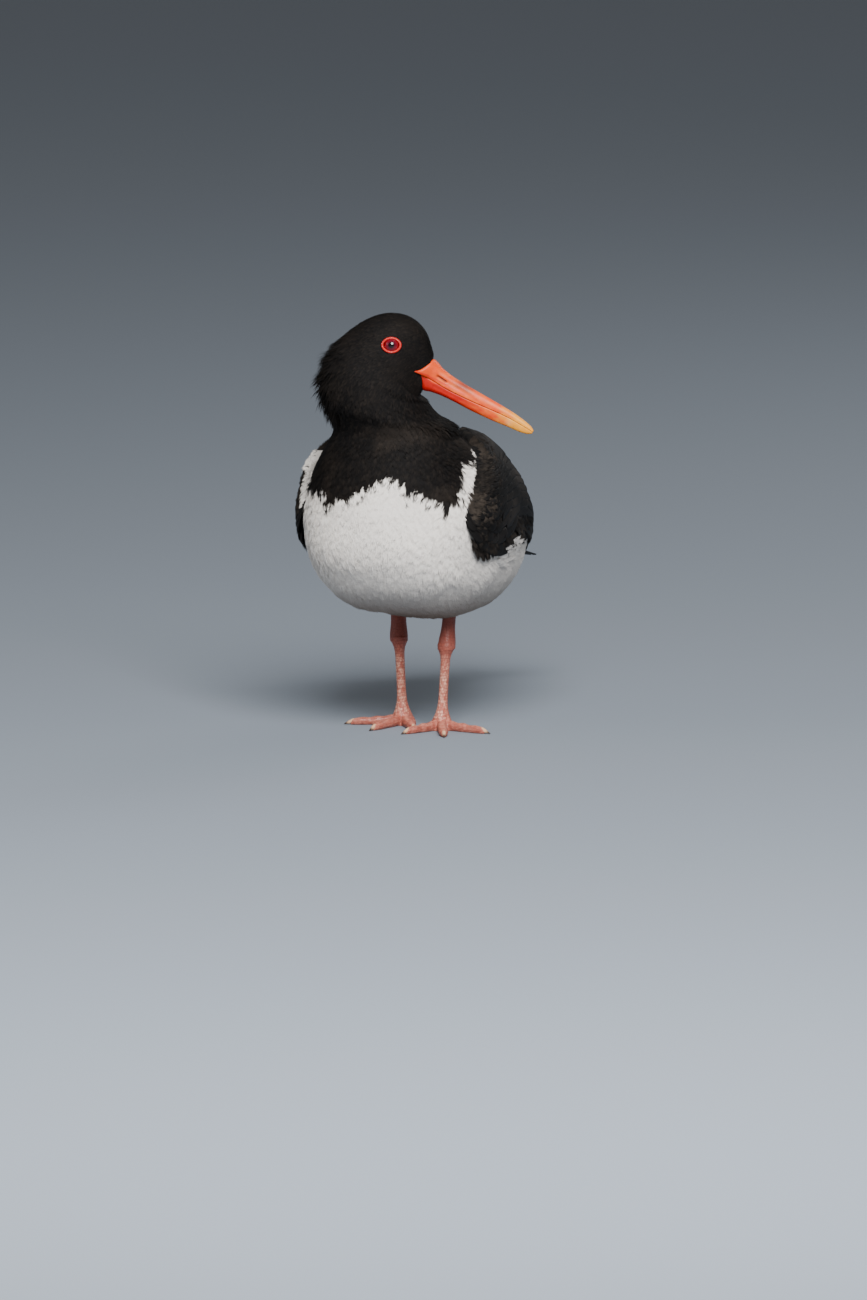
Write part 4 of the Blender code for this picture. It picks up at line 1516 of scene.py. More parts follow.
@dataclass(frozen=True)
class Wing:
    """A folded wing, feather by feather. Places count as the trunk's do and go on behind it.

    The rows are the primaries, secondaries and tertials, the greater and the median coverts, three
    rows of lesser and three of marginal coverts, and five of scapulars from the rear forward.
    """

    body: Body
    markings: Markings
    rear: Table = (
        (0.182, 0.0882, 14, 0.0060, 0.0032, 0.0028, 2.0),
        (0.156, 0.0941, 14, 0.0128, 0.0070, 0.0052, 2.0),
        (0.128, 0.0998, 14, 0.0196, 0.0122, 0.0098, 2.1),
        (0.101, 0.1053, 14, 0.0298, 0.0190, 0.0160, 2.2),
        (0.076, 0.1110, 14, 0.0430, 0.0300, 0.0320, 2.5),
    )
    first: int = -3
    rise: float = 0.0042
    front: float = 5.5
    upper_edge: tuple[float, ...] = (14, 7, 4, 3, 3, 5, 14, 28, 46, 66)
    lower_edge: tuple[float, ...] = (93, 93, 93, 93, 93, 93, 96, 104, 112, 106)
    rows: tuple[VaneRow, ...] = (
        VaneRow(9, (1.60, 1.60), (-3.00, -0.70), (0.40, 0.90), 0.0050, -0.0004, 0.7, 0.15),
        VaneRow(9, (2.60, 2.80), (0.70, 1.60), (0.42, 0.97), 0.0062, -0.0002, 0.2, 0.3),
        VaneRow(5, (2.90, 2.90), (-0.90, 0.80), (0.12, 0.50), 0.0086, 0.0002, 0.35, 0.8),
        VaneRow(13, (3.50, 3.60), (2.25, 2.65), (0.22, 0.98), 0.0052, 0.0002, 0.2, 0.7),
        VaneRow(12, (3.95, 4.00), (3.05, 3.20), (0.20, 0.98), 0.0056, 0.0003, 0.2, 0.6),
        VaneRow(13, (4.30, 4.35), (3.62, 3.68), (0.18, 0.98), 0.0050, 0.0003, 0.2, 0.5),
        VaneRow(14, (4.62, 4.65), (4.00, 4.05), (0.16, 0.98), 0.0046, 0.0003, 0.2, 0.5),
        VaneRow(14, (4.90, 4.92), (4.34, 4.38), (0.12, 0.98), 0.0042, 0.0003, 0.2, 0.4),
        VaneRow(15, (5.14, 5.14), (4.64, 4.66), (0.06, 0.98), 0.0037, 0.0003, 0.2, 0.3),
        VaneRow(15, (5.34, 5.34), (4.90, 4.92), (0.03, 0.97), 0.0034, 0.0003, 0.2, 0.2),
        VaneRow(15, (5.52, 5.52), (5.12, 5.14), (0.02, 0.97), 0.0032, 0.0002, 0.2, 0.2),
        VaneRow(5, (3.40, 3.40), (1.90, 2.20), (0.03, 0.34), 0.0082, 0.0008, 0.2, 0.8),
        VaneRow(5, (3.95, 3.95), (2.80, 2.95), (0.03, 0.33), 0.0074, 0.0008, 0.2, 0.7),
        VaneRow(5, (4.40, 4.40), (3.55, 3.60), (0.03, 0.31), 0.0064, 0.0007, 0.2, 0.6),
        VaneRow(5, (4.80, 4.80), (4.10, 4.10), (0.03, 0.28), 0.0056, 0.0006, 0.2, 0.5),
        VaneRow(5, (5.15, 5.15), (4.55, 4.55), (0.03, 0.26), 0.0048, 0.0004, 0.2, 0.4),
    )

    def stations(self) -> Array:
        """Cross-sections of the wing's outer surface, from its tip forward."""
        front = np.array(self.body.trunk.stations[2:7]) + np.array((0, 0, 0, 1, 1, 1, 0)) * self.rise
        return np.concatenate([self.rear, front])

    def edges(self, place: Array) -> tuple[Array, Array]:
        """Angles of the upper and the lower edge from the back, in degrees."""
        return spline(self.upper_edge, place - self.first), spline(self.lower_edge, place - self.first)

    def point(self, place: Any, share: Any, rise: Any = 0.0) -> Array:
        """Points on the left wing.

        Args:
            place: their places.
            share: their shares of the way down from its upper edge.
            rise: how far they are outside it.

        Returns:
            One point for each.
        """
        given = np.broadcast_arrays(*(np.asarray(value, float) for value in (place, share, rise)))
        place, share, rise = (value.ravel() for value in given)
        upper, lower = self.edges(place)
        turn = np.radians(upper + (lower - upper) * share)
        front = step(0, 0.9, self.front - place)
        edges = np.minimum(0.35 + 0.65 * step(0, 0.22, share), 1 - 0.40 * step(0.78, 1.0, share))
        held = np.clip(place - 1.0, 0, 1)
        fall = self.rise * held * (1 - (0.15 + 0.85 * front) * edges)
        trunk = Trunk(self.stations(), self.body.trunk.back_fullness)
        return trunk.point(place - self.first, turn, rise - fall).reshape(given[0].shape + (3,))

    def covers(self, places: Array, turns: Array, offset: float) -> Array:
        """Which points of the body's grid lie under a wing.

        Args:
            places: places of its rings.
            turns: turns of its columns.
            offset: the turn at which the back is.

        Returns:
            1 for each point that does, else 0.
        """
        angle = np.degrees(np.abs((turns - offset + math.pi) % (2 * math.pi) - math.pi))
        upper, lower = self.edges(places)
        inside = (angle[None, :] > upper[:, None] + 10) & (angle[None, :] < lower[:, None] - 12)
        return inside * ((places > 0.6) & (places < self.front - 0.55))[:, None]

    def vane(self, shape: Shape, row: VaneRow, index: int, cell: Array, draw: np.random.Generator) -> None:
        """Adds one feather of a row.

        Args:
            shape: the wing's mesh.
            row: the row.
            index: the feather's number in it.
            cell: its place on the bake's map.
            draw: what varies it.
        """
        part = index / (row.count - 1)
        ends = (pair[0] + (pair[1] - pair[0]) * part for pair in (row.roots, row.tips, row.shares))
        root, tip, share = ends
        root, tip = root + draw.normal(0, 0.03), tip + draw.normal(0, 0.03)
        along, across = np.array(VANE_ALONG)[:, None], np.array(VANE_ACROSS)[None, :]
        blunt = np.sqrt(np.clip(1 - np.clip((along - 0.72) / 0.28, 0, 1) ** (2.6 - 1.4 * row.pointed), 0, 1))
        width = (0.62 + 0.38 * step(0, 0.35, along)) * blunt * (1 - row.pointed * 0.45 * step(0.4, 1, along))
        width = np.maximum(width, 0.05)
        places = root + (tip - root) * along
        beside = self.point(places, share + 0.01) - self.point(places, share)
        per_metre = 0.01 / np.linalg.norm(beside, axis=-1)
        uneven = 1 + 0.05 * draw.normal(size=along.shape)
        shares = np.clip(share + across * (row.half_width * width * uneven * per_metre), 0, 1.04)
        crown = (0.00030 * (1 - across**2) + 0.00016 * (np.abs(across) < 0.1)) * (0.4 + 0.6 * width)
        tilt = 0.0007 * across * (1 - 0.6 * along**2)
        rise = row.rise - 0.0009 + 0.0016 * along + tilt + crown - 0.0016 * step(4.9, 5.5, places)
        places, along, across = np.broadcast_arrays(places, along, across)
        top = self.point(places, shares, rise)
        bottom = self.point(places, shares, rise - (0.00028 + 0.0003 * (1 - along)))
        fringe = np.maximum(step(0.6, 1.0, np.abs(across)) * step(0.3, 0.8, along), step(0.9, 1, along))
        fringe = fringe * row.fringe * draw.uniform(0.25, 1.0)
        worn = self.markings.worn
        tint = blend_colours(self.markings.black, worn, np.clip(0.7 * fringe + draw.uniform(0, 0.08), 0, 1))
        patchy = np.clip(waves(top, 0.02, 6), 0, 1)
        tint = tint * draw.uniform(0.7, 1.3)
        tint = blend_colours(tint, worn, patchy * draw.uniform(0.1, 0.8) * row.fringe)
        luck = np.full(along.shape, draw.random())
        leaf = np.stack([along * abs(tip - root) * 0.028, across * row.half_width, luck], axis=-1)
        uv = cell + np.stack([along, (across + 1) / 2], axis=-1) * 0.052
        add_plate(shape, top, bottom, tint, leaf, uv)

    def build(self, name: str, side: int, finish: Material) -> Object:
        """Makes a wing.

        Args:
            name: its name.
            side: 1 for the left wing, -1 for the right one.
            finish: its finish.

        Returns:
            The wing.
        """
        draw = np.random.default_rng(SEED)
        shape = Shape()
        rows = np.linspace(self.front - 0.05, -2.6, 60)[:, None]
        columns = np.linspace(0.02, 0.97, 20)[None, :]
        near = np.clip((rows + 3.2) / 2.5, 0.25, 1)
        top = self.point(rows, columns, -0.0014 * near)
        bottom = self.point(rows, columns, -0.0032 * near)
        add_plate(shape, top, bottom, self.markings.black, (0, 0, 0), (0.97, 0.97))
        cells = iter([np.array((0.01 + 0.06 * i, 0.01 + 0.06 * j)) for j in range(16) for i in range(16)])
        for row in self.rows:
            for index in range(row.count):
                self.vane(shape, row, index, next(cells), draw)
        if side < 0:
            for part in shape.parts:
                part[0] = part[0] * (-1, 1, 1)
            shape.faces = [face[::-1] for face in shape.faces]
        return shape.build(name, finish, "plumage_black", plates=True)


def add_plate(shape: Shape, top: Array, bottom: Array, tint: Any, leaf: Any, uv: Any) -> None:
    """Adds a closed sheet between two grids of points.

    Args:
        shape: the mesh it joins.
        top: the outer grid.
        bottom: the inner grid.
        tint: one colour, or one for each point of a grid.
        leaf: one leaf position, or one for each point of a grid.
        uv: one place on the map, or one for each point of a grid.
    """
    rows, columns = top.shape[:2]
    count = rows * columns
    upper = quads(rows, columns)
    lower = upper[:, ::-1] + count
    number = np.arange(count).reshape(rows, columns)
    rim = [*number[0], *number[1:, -1], *number[-1, -2::-1], *number[-2:0:-1, 0]]
    side = [(b, a, a + count, b + count) for a, b in zip(rim, rim[1:] + rim[:1])]
    both = [value if np.ndim(value) == 1 else np.concatenate([value, value]) for value in (tint, leaf, uv)]
    shape.add(np.concatenate([top, bottom]), [*upper, *lower, *side], *both)


@dataclass(frozen=True)
class Tail:
    """The tail, a stepped fan with the middle pair on top, white with a black end.

    Its coverts are a height over its root and a range of lengths, above and below.
    """

    markings: Markings
    root: tuple[float, float] = (0.086, 0.1056)
    drop: float = 12.0
    length: float = 0.0900
    feathers: int = 6
    half_width: float = 0.0068
    spread: float = 0.55
    stagger: float = 0.0014
    band: float = 0.60
    coverts: Table = ((0.0008, 0.034, 0.046), (-0.0052, 0.040, 0.056))

    def axes(self) -> tuple[Array, Array]:
        """Directions back along the tail and up from it."""
        drop = math.radians(self.drop)
        return np.array([0, math.cos(drop), -math.sin(drop)]), np.array([0, math.sin(drop), math.cos(drop)])

    def plate(
        self, shape: Shape, start: Array, turn: float, size: Triple, band: float, cell: Any
    ) -> None:
        """Adds one feather.

        Args:
            shape: the tail's mesh.
            start: its root.
            turn: its turn from the tail's axis, in radians to the left.
            size: its length, half its width and its thickness.
            band: the share along it at which it turns black.
            cell: its place on the bake's map.
        """
        back, up = self.axes()
        length, half, thick = size
        axis = back * math.cos(turn) + LEFT * math.sin(turn)
        across_axis = LEFT * math.cos(turn) - back * math.sin(turn)
        along, across = np.array(PLATE_ALONG)[:, None], np.array(PLATE_ACROSS)[None, :]
        point = np.sqrt(np.clip(1 - np.clip((along - 0.82) / 0.18, 0, 1) ** 2.4, 0.01, 1))
        width = (0.7 + 0.3 * step(0, 0.4, along)) * point
        crown = 0.00035 * (1 - across**2) + 0.00015 * (np.abs(across) < 0.1)
        top = start + along[..., None] * length * axis + (across * width)[..., None] * half * across_axis
        top = top + crown[..., None] * up
        along, across = np.broadcast_arrays(along, across)
        tint = blend_colours(self.markings.white, self.markings.black, step(band - 0.03, band + 0.03, along))
        leaf = np.stack([along * length, across * half, along * 0], axis=-1)
        uv = np.asarray(cell) + np.stack([along, (across + 1) / 2], axis=-1) * 0.08
        add_plate(shape, top, top - up * thick, tint, leaf, uv)

    def build(self, finish: Material) -> Object:
        """Makes the tail.

        Args:
            finish: its finish.

        Returns:
            The tail, with the small feathers that cover its root above and below.
        """
        shape = Shape()
        back, up = self.axes()
        root = np.array([0.0, *self.root])
        cells = iter([(0.01 + 0.09 * i, 0.01 + 0.09 * j) for j in range(10) for i in range(10)])
        for side in (1, -1):
            for k in range(self.feathers):
                turn = math.radians(side * self.spread * (k + 0.5))
                start = root + LEFT * side * self.stagger * (k + 0.5) - up * 0.0005 * (k + 0.3 * (side < 0))
                size = (self.length * (1 - 0.012 * k), self.half_width, 0.0004)
                self.plate(shape, start, turn, size, self.band, next(cells))
        draw = np.random.default_rng(SEED)
        for level, (height, *lengths) in enumerate(self.coverts):
            for row in range(3):
                for k in range(-3, 4):
                    x = k * 0.0042 * (1 - 0.1 * row)
                    lift = height - abs(k) * 0.0005 * (1 - 2 * level)
                    start = root + back * (-0.004 + 0.012 * row) + LEFT * x + up * lift
                    size = (draw.uniform(*lengths) * (1 - 0.1 * row), 0.0048, 0.0003)
                    self.plate(shape, start, x * 5, size, 2.0, next(cells))
        return shape.build("tail_feathers", finish, "plumage_black", plates=True)


# Head


@dataclass(frozen=True)
class Bill:
    """The bill: sections along its axis with the heights of culmen, mouth and keel and half width."""

    head: Head
    root: tuple[float, float] = (0.0230, -0.0139)
    drop: float = 27.5
    sections: Table = (
        (-0.0090, 0.0006, -0.0006, -0.0024, 0.0118),
        (-0.0060, 0.0040, -0.0007, -0.0042, 0.0101),
        (-0.0034, 0.0094, -0.0009, -0.0062, 0.0085),
        (0.0000, 0.0093, -0.0010, -0.0098, 0.0067),
        (0.0045, 0.0075, -0.0013, -0.0087, 0.0054),
        (0.0115, 0.0062, -0.0019, -0.0076, 0.0046),
        (0.0210, 0.0055, -0.0018, -0.0072, 0.0040),
        (0.0320, 0.0051, -0.0012, -0.0071, 0.0036),
        (0.0460, 0.0047, -0.0001, -0.0063, 0.0030),
        (0.0560, 0.0041, 0.0003, -0.0052, 0.0026),
        (0.0640, 0.0030, 0.0000, -0.0045, 0.0022),
        (0.0688, 0.0018, -0.0003, -0.0034, 0.0018),
        (0.0712, 0.0004, -0.0006, -0.0018, 0.0012),
    )
    orange: Triple = (0.74, 0.070, 0.007)
    pale: Triple = (0.80, 0.160, 0.025)
    # red is the gape's colour and also the painted shade under the lower mandible's base.
    red: Triple = (0.50, 0.004, 0.003)
    yellow: Triple = (0.86, 0.38, 0.022)
    dusk: Triple = (0.22, 0.045, 0.03)
    slit: Triple = (0.10, 0.008, 0.004)
    glint: Triple = (0.90, 0.66, 0.42)
    rings: int = 170
    around: int = 44

    def axes(self) -> Array:
        """Finds how the bill lies.

        Returns:
            Directions along it, up from it and to its left, as rows.
        """
        ahead, up, left = self.head.axes()
        cosine, sine = math.cos(math.radians(self.drop)), math.sin(math.radians(self.drop))
        return np.array([ahead * cosine - up * sine, ahead * sine + up * cosine, left])

    def sizes(self, along: Array) -> Array:
        """Heights of culmen, mouth and keel and the half width, as rows."""
        table = np.array(self.sections)
        return curve_at(table[:, 0], table[:, 1:], along).T

    def covers(self, points: Array) -> Array:
        """Which points are inside the bill or at its skin.

        Args:
            points: the points.

        Returns:
            1 for each that is, else 0.
        """
        parts = (points - self.head.point(*self.root)) @ self.axes().T
        along, up, side = np.moveaxis(parts, -1, 0)
        culmen, _, keel, half = (value.reshape(along.shape) for value in self.sizes(along.ravel()))
        middle, tall = (culmen + keel) / 2, (culmen - keel) / 2 + 0.0003
        near = ((up - middle) / tall) ** 2 + (side / (half + 0.0003)) ** 2
        return ((along > -0.0092) & (near < 1)).astype(float)

    def build(self, upper: bool, finish: Material) -> Object:
        """Makes one half of the bill.

        Args:
            upper: whether it is the upper half.
            finish: its finish.

        Returns:
            The half.
        """
        along = np.linspace(self.sections[0][0], self.sections[-1][0], self.rings)[:, None]
        culmen, mouth, keel, half = (size[:, None] for size in self.sizes(along.ravel()))
        mouth = mouth + (0.00015 if upper else -0.00015)
        turns = np.linspace(0, math.pi, self.around)[None, :]
        cosine, sine = np.cos(turns), np.sin(turns)
        side = half * (np.sign(cosine) * np.abs(cosine) ** 0.85)
        height = mouth + ((culmen if upper else keel) - mouth) * np.maximum(sine, 0) ** 0.85
        along, turns = np.broadcast_arrays(along, turns)
        if not upper:
            side = side * (1 - 0.20 * step(0.004, -0.005, along))
        side = side - np.sign(side) * np.minimum(self.relief(along, height, upper), np.abs(side) * 0.5)
        grid = self.head.point(*self.root) + np.stack([along, height, side], axis=-1) @ self.axes()
        chart = np.stack([(along - along[0]) / np.ptp(along), turns / math.pi], axis=-1)
        shape = Shape()
        tint = self.tint(along, height, side, upper)
        shape.add(grid, tube_faces(self.rings, self.around), tint, uv=0.02 + 0.96 * chart)
        return shape.build(f"bill_{'upper' if upper else 'lower'}_horn", finish, "bill_orange")

    def nostril(self, along: Array, height: Array) -> Array:
        """Depth from 0 to 1 of the slit of the nostril at points on the side of the bill."""
        off = np.abs(height - 0.0023 + np.tan(np.radians(5.0)) * (along - 0.0073))
        return step(0.00075, 0.0002, off) * step(0.0031, 0.0045, along) * step(0.0116, 0.0100, along)

    def relief(self, along: Array, height: Array, upper: bool) -> Array:
        """How far the side of the bill is pressed in by its grooves.

        Args:
            along: how far along the bill each point is.
            height: how high over its axis.
            upper: whether it is the upper half.

        Returns:
            A depth for each point.
        """
        if not upper:
            groove = bell(height, -0.0042 + 0.02 * along, 0.0010)
            return 0.00022 * groove * step(0.000, 0.006, along) * step(0.040, 0.020, along)
        groove = bell(height, 0.0021 - 0.05 * (along - 0.007), 0.0012)
        groove = groove * step(0.0005, 0.004, along) * step(0.034, 0.018, along)
        second = bell(height, 0.0002, 0.0005) * step(-0.004, 0.0, along) * step(0.016, 0.010, along)
        return 0.00042 * groove + 0.0002 * second + 0.0011 * self.nostril(along, height)

    def tint(self, along: Array, height: Array, side: Array, upper: bool) -> Array:
        """Colours at points on the bill, with painted shade under the lower mandible's base.

        Args:
            along: how far along the bill each point is.
            height: how high over its axis.
            side: how far to its left.
            upper: whether it is the upper half.

        Returns:
            One colour for each point.
        """
        streak = waves(np.stack([along * 0.35, height, side], axis=-1), 0.0016, 5) * 0.5 + 0.5
        colour = blend_colours(self.orange, self.pale, np.clip(0.55 * streak * step(0.0, 0.006, along), 0, 1))
        if upper:
            smudge = bell(along, 0.0215, 0.0060) * step(0.0016, 0.0042, height + 0.001 * streak)
            colour = toward(colour, self.dusk, 0.85 * smudge)
            gape = bell(height, 0.0002, 0.0005) * step(0.02, 0.004, along)
            colour = toward(colour, self.red, 0.85 * gape)
            colour = toward(colour, self.slit, 0.95 * self.nostril(along, height))
        else:
            # Painted shade: the underside of the lower mandible's base is darkened to deep red.
            base = step(0.046, 0.020, along + 0.006 * (streak - 0.5))
            deep = base * step(-0.0008, -0.0030, height - 0.0010 * streak)
            colour = toward(colour, self.red, 0.92 * deep)
            glint = bell(along, 0.0560, 0.0022) * step(-0.0052, -0.0030, height)
            colour = toward(colour, self.glint, 0.35 * glint)
        return toward(colour, self.yellow, 0.85 * step(0.043, 0.062, along + 0.004 * (streak - 0.5)))


@dataclass(frozen=True)
class Eye:
    """An eyeball and the bare ring that stands out from its middle, where the solids have them."""

    head: Head
    side: str
    radius: float = 0.0056
    pupil: float = 0.00175
    long: float = 0.0053
    tall: float = 0.0043
    thick: float = 0.0010
    width: float = 0.75
    stand: float = 0.0039
    crimson: Triple = (0.075, 0.001, 0.011)
    edge_red: Triple = (0.26, 0.004, 0.006)
    rim: Triple = (0.05, 0.001, 0.003)
    black: Triple = (0.004, 0.002, 0.003)
    ring_red: Triple = (0.62, 0.018, 0.009)
    ring_edge: Triple = (0.34, 0.008, 0.006)

    def frame(self) -> tuple[Array, Array]:
        """Finds where the solids have the eye.

        Returns:
            The eyeball's middle, and its directions ahead, up and out as rows.
        """
        ball = sum(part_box(f"eye_{self.side}"), Vector()) / 2
        ring = sum(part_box(f"eye_ring_{self.side}"), Vector()) / 2
        centre = np.array(ball) + ORIGIN.shift
        out = unit(np.array(ring - ball))
        ahead = self.head.axes()[0]
        along = unit(ahead - out * (ahead @ out))
        up = np.cross(out, along)
        return centre, np.array([along, up if up[2] > 0 else -up, out])

    def covers(self, points: Array) -> Array:
        """Which points are on the outside of the head within the bare ring.

        Args:
            points: the points.

        Returns:
            1 for each that is, else 0.
        """
        centre, axes = self.frame()
        along, up, out = np.moveaxis((points - centre) @ axes.T, -1, 0)
        near = (along / (self.long + self.thick * 0.7)) ** 2 + (up / (self.tall + self.thick * 0.7)) ** 2
        return ((near < 1) & (out > 0)).astype(float)

    def build_ball(self, finish: Material) -> Object:
        """Makes the eyeball with its iris and pupil.

        Args:
            finish: its finish.

        Returns:
            The eyeball.
        """
        centre, axes = self.frame()
        lean, turn = np.moveaxis(pairs(np.linspace(0.0, math.pi, 48), circle(64)), -1, 0)
        bulge = 1 + 0.06 * np.exp(-((lean / 0.55) ** 2))
        local = np.stack([np.sin(lean) * np.cos(turn), np.sin(lean) * np.sin(turn), np.cos(lean)], axis=-1)
        grid = centre + (local * bulge[..., None] * self.radius) @ axes
        off = np.sin(lean) * self.radius
        rays = 0.5 + 0.5 * np.sin(turn * 23 + 3 * np.sin(turn * 7)) * np.sin(turn * 11 + 1)
        edge = np.clip(0.2 * rays + 0.6 * step(0.0022, 0.0042, off), 0, 1)
        colour = blend_colours(self.crimson, self.edge_red, edge)
        colour = toward(colour, self.rim, step(0.0040, 0.0047, off))
        colour = toward(colour, self.black, step(self.pupil + 0.0003, self.pupil - 0.0002, off))
        shape = Shape()
        shape.add(grid, quads(*lean.shape, wrap=True), colour)
        return shape.build(f"eyeball_{self.side}", finish, "eye_red")

    def build_ring(self, finish: Material) -> Object:
        """Makes the bare ring, with fine folds round it and a blunt corner at the back.

        Args:
            finish: its finish.

        Returns:
            The ring.
        """
        centre, axes = self.frame()
        turn, roll = np.moveaxis(pairs(circle(120), circle(20)), -1, 0)
        corner = 1 + 0.05 * np.maximum(0.0, -np.cos(turn)) ** 4 + 0.03 * np.maximum(0.0, np.cos(turn)) ** 8
        radius = self.thick * (1 + 0.05 * np.sin(roll * 5 + np.sin(turn * 3)) + 0.03 * np.sin(turn * 19))
        swell = self.width * radius * np.cos(roll)
        local = np.stack([
            self.long * np.cos(turn) * corner + np.cos(turn) * swell,
            self.tall * np.sin(turn) + np.sin(turn) * swell,
            self.stand + radius * np.sin(roll),
        ], axis=-1)
        edge = 0.75 * step(0.3, 1.0, np.abs(np.cos(roll)))
        faces = quads(turn.shape[0] + 1, turn.shape[1], wrap=True) % turn.size
        shape = Shape()
        shape.add(centre + local @ axes, faces, blend_colours(self.ring_red, self.ring_edge, edge))
        return shape.build(f"eyelid_{self.side}", finish, "eye_ring")


# Legs


@dataclass(frozen=True)
class Leg:
    """A bare leg with its foot.

    It is set by the middle of the foot, the heel joint and where the thigh leaves the belly, by the
    turns of its toes from straight ahead to the bird's left, and by the thigh's size. Rings are
    shares of the way with half widths and half depths, or with heights on the toes. The scales stand
    at a pitch and the scutes of the toes at theirs.
    """

    side: str
    foot: tuple[float, float]
    heel: Triple
    hip: tuple[float, float]
    toe_turns: Triple
    thigh_size: float
    thigh_top: float = 0.0800
    thigh_rings: Table = (
        (0.0, 0.0054, 0.0058), (0.15, 0.0053, 0.0056), (0.4, 0.0045, 0.0050), (0.7, 0.0045, 0.0054),
        (1.0, 0.0054, 0.0066),
    )
    shank_rings: Table = (
        (0.0, 0.0054, 0.0058), (0.06, 0.0048, 0.0053), (0.12, 0.0034, 0.0041), (0.20, 0.0027, 0.0036),
        (0.6, 0.0026, 0.0034), (0.74, 0.0031, 0.0038), (0.83, 0.0044, 0.0052), (0.90, 0.0062, 0.0064),
        (0.96, 0.0078, 0.0076), (1.0, 0.0080, 0.0078),
    )
    toes: tuple[tuple[str, float, float], ...] = (
        ("inner", 0.0290, 0.0029), ("middle", 0.0330, 0.0031), ("outer", 0.0322, 0.0029),
    )
    toe_rings: Table = (
        (0.0, 0.95, 0.0062), (0.22, 0.98, 0.0060), (0.36, 0.92, 0.0050), (0.5, 1.0, 0.0052),
        (0.62, 0.86, 0.0043), (0.76, 0.96, 0.0045), (0.88, 0.80, 0.0040), (0.96, 0.62, 0.0033),
        (1.0, 0.34, 0.0022),
    )
    claw_length: float = 0.0062
    claw_sunk: float = 0.0022
    claw_height: float = 0.0031
    claw_width: float = 0.0027
    voxel: float = 0.00036
    pink: Triple = (0.60, 0.165, 0.105)
    pale: Triple = (0.86, 0.53, 0.39)
    # deep is the dark between the scales and also the painted shade on the heel and thigh.
    deep: Triple = (0.23, 0.048, 0.033)
    claw_pale: Triple = (0.66, 0.42, 0.25)
    claw_dark: Triple = (0.05, 0.03, 0.022)
    pitch: float = 0.00185
    toe_pitch: float = 0.00165
    relief: float = 0.00016

    @property
    def ground(self) -> Array:
        """The middle of the foot, on the ground."""
        return np.array([*self.foot, 0.0])

    def toe_axes(self, index: int) -> Array:
        """Level directions along a toe and across it, as rows."""
        turn = math.radians(self.toe_turns[index])
        return np.array([[math.sin(turn), -math.cos(turn), 0.0], [math.cos(turn), math.sin(turn), 0.0]])

    def tube(self, shape: Shape, start: Array, end: Array, table: Any, size: float = 1.0) -> None:
        """Adds a tube of level rings from start to end.

        Args:
            shape: the leg's mesh.
            start: the middle of the first ring.
            end: the middle of the last ring.
            table: shares of the way with half widths and half depths.
            size: how wide the last ring is, as a share of its own width.
        """
        table = np.array(table)
        parts = np.linspace(0, 1, 60)
        width, depth = curve_at(table[:, 0], table[:, 1:], parts).T
        width = width * (1 + (size - 1) * parts)
        turns = circle(40)
        rings = np.repeat((start + parts[:, None] * (end - start))[:, None], len(turns), axis=1)
        rings[..., 0] += width[:, None] * np.cos(turns)
        rings[..., 1] += depth[:, None] * np.sin(turns)
        shape.add(rings, tube_faces(*rings.shape[:2]))

    def toe(self, shape: Shape, index: int) -> None:
        """Adds a toe, flat underneath.

        Args:
            shape: the leg's mesh.
            index: the toe's number.
        """
        _, length, half = self.toes[index]
        along, across = self.toe_axes(index)
        table = np.array(self.toe_rings)
        parts = np.linspace(0, 1, 50)
        width, height = curve_at(table[:, 0], table[:, 1:], parts).T
        turns = circle(28)
        middle = self.ground + parts[:, None] * length * along
        rings = middle[:, None] + (half * width)[:, None, None] * np.cos(turns)[None, :, None] * across
        lift = height[:, None] * (0.5 + 0.62 * np.sin(turns))[None, :]
        rings[..., 2] += np.clip(lift, 0.0, height[:, None])
        shape.add(rings, tube_faces(*rings.shape[:2]))

    def build(self, finish: Material) -> Object:
        """Makes the leg's one skin, with its scales raised.

        Args:
            finish: its finish.

        Returns:
            The leg.
        """
        shape = Shape()
        heel = np.array(self.heel)
        hip = np.array([*self.hip, self.thigh_top])
        self.tube(shape, heel - 0.002 * UP, hip, self.thigh_rings, self.thigh_size)
        self.tube(shape, heel + 0.001 * UP, self.ground, self.shank_rings)
        for index in range(len(self.toes)):
            self.toe(shape, index)
        rough = shape.build("rough")
        modifier = rough.modifiers.new("skin", "REMESH")
        modifier.mode = "VOXEL"
        modifier.voxel_size = self.voxel
        graph = bpy.context.evaluated_depsgraph_get()
        mesh = bpy.data.meshes.new_from_object(rough.evaluated_get(graph))
        rough.modifiers.clear()
        bpy.data.objects.remove(rough)
        points = relax(mesh, read(mesh.vertices, "co"), 7)
        set_points(mesh, points)
        raised, colour = self.scales(points + ORIGIN.shift)
        points = points + read(mesh.vertices, "normal") * raised[:, None]
        points[:, 2] = np.maximum(points[:, 2], 0.0)
        set_points(mesh, points)
        drop_attributes(mesh, ("tint", "leaf"))
        put_attribute(mesh, "tint", colour)
        mesh.materials.clear()
        mesh.materials.append(finish)
        shade_smooth(mesh)
        mesh.name = f"leg_skin_{self.side}"
        obj = link(mesh.name, mesh)
        return obj

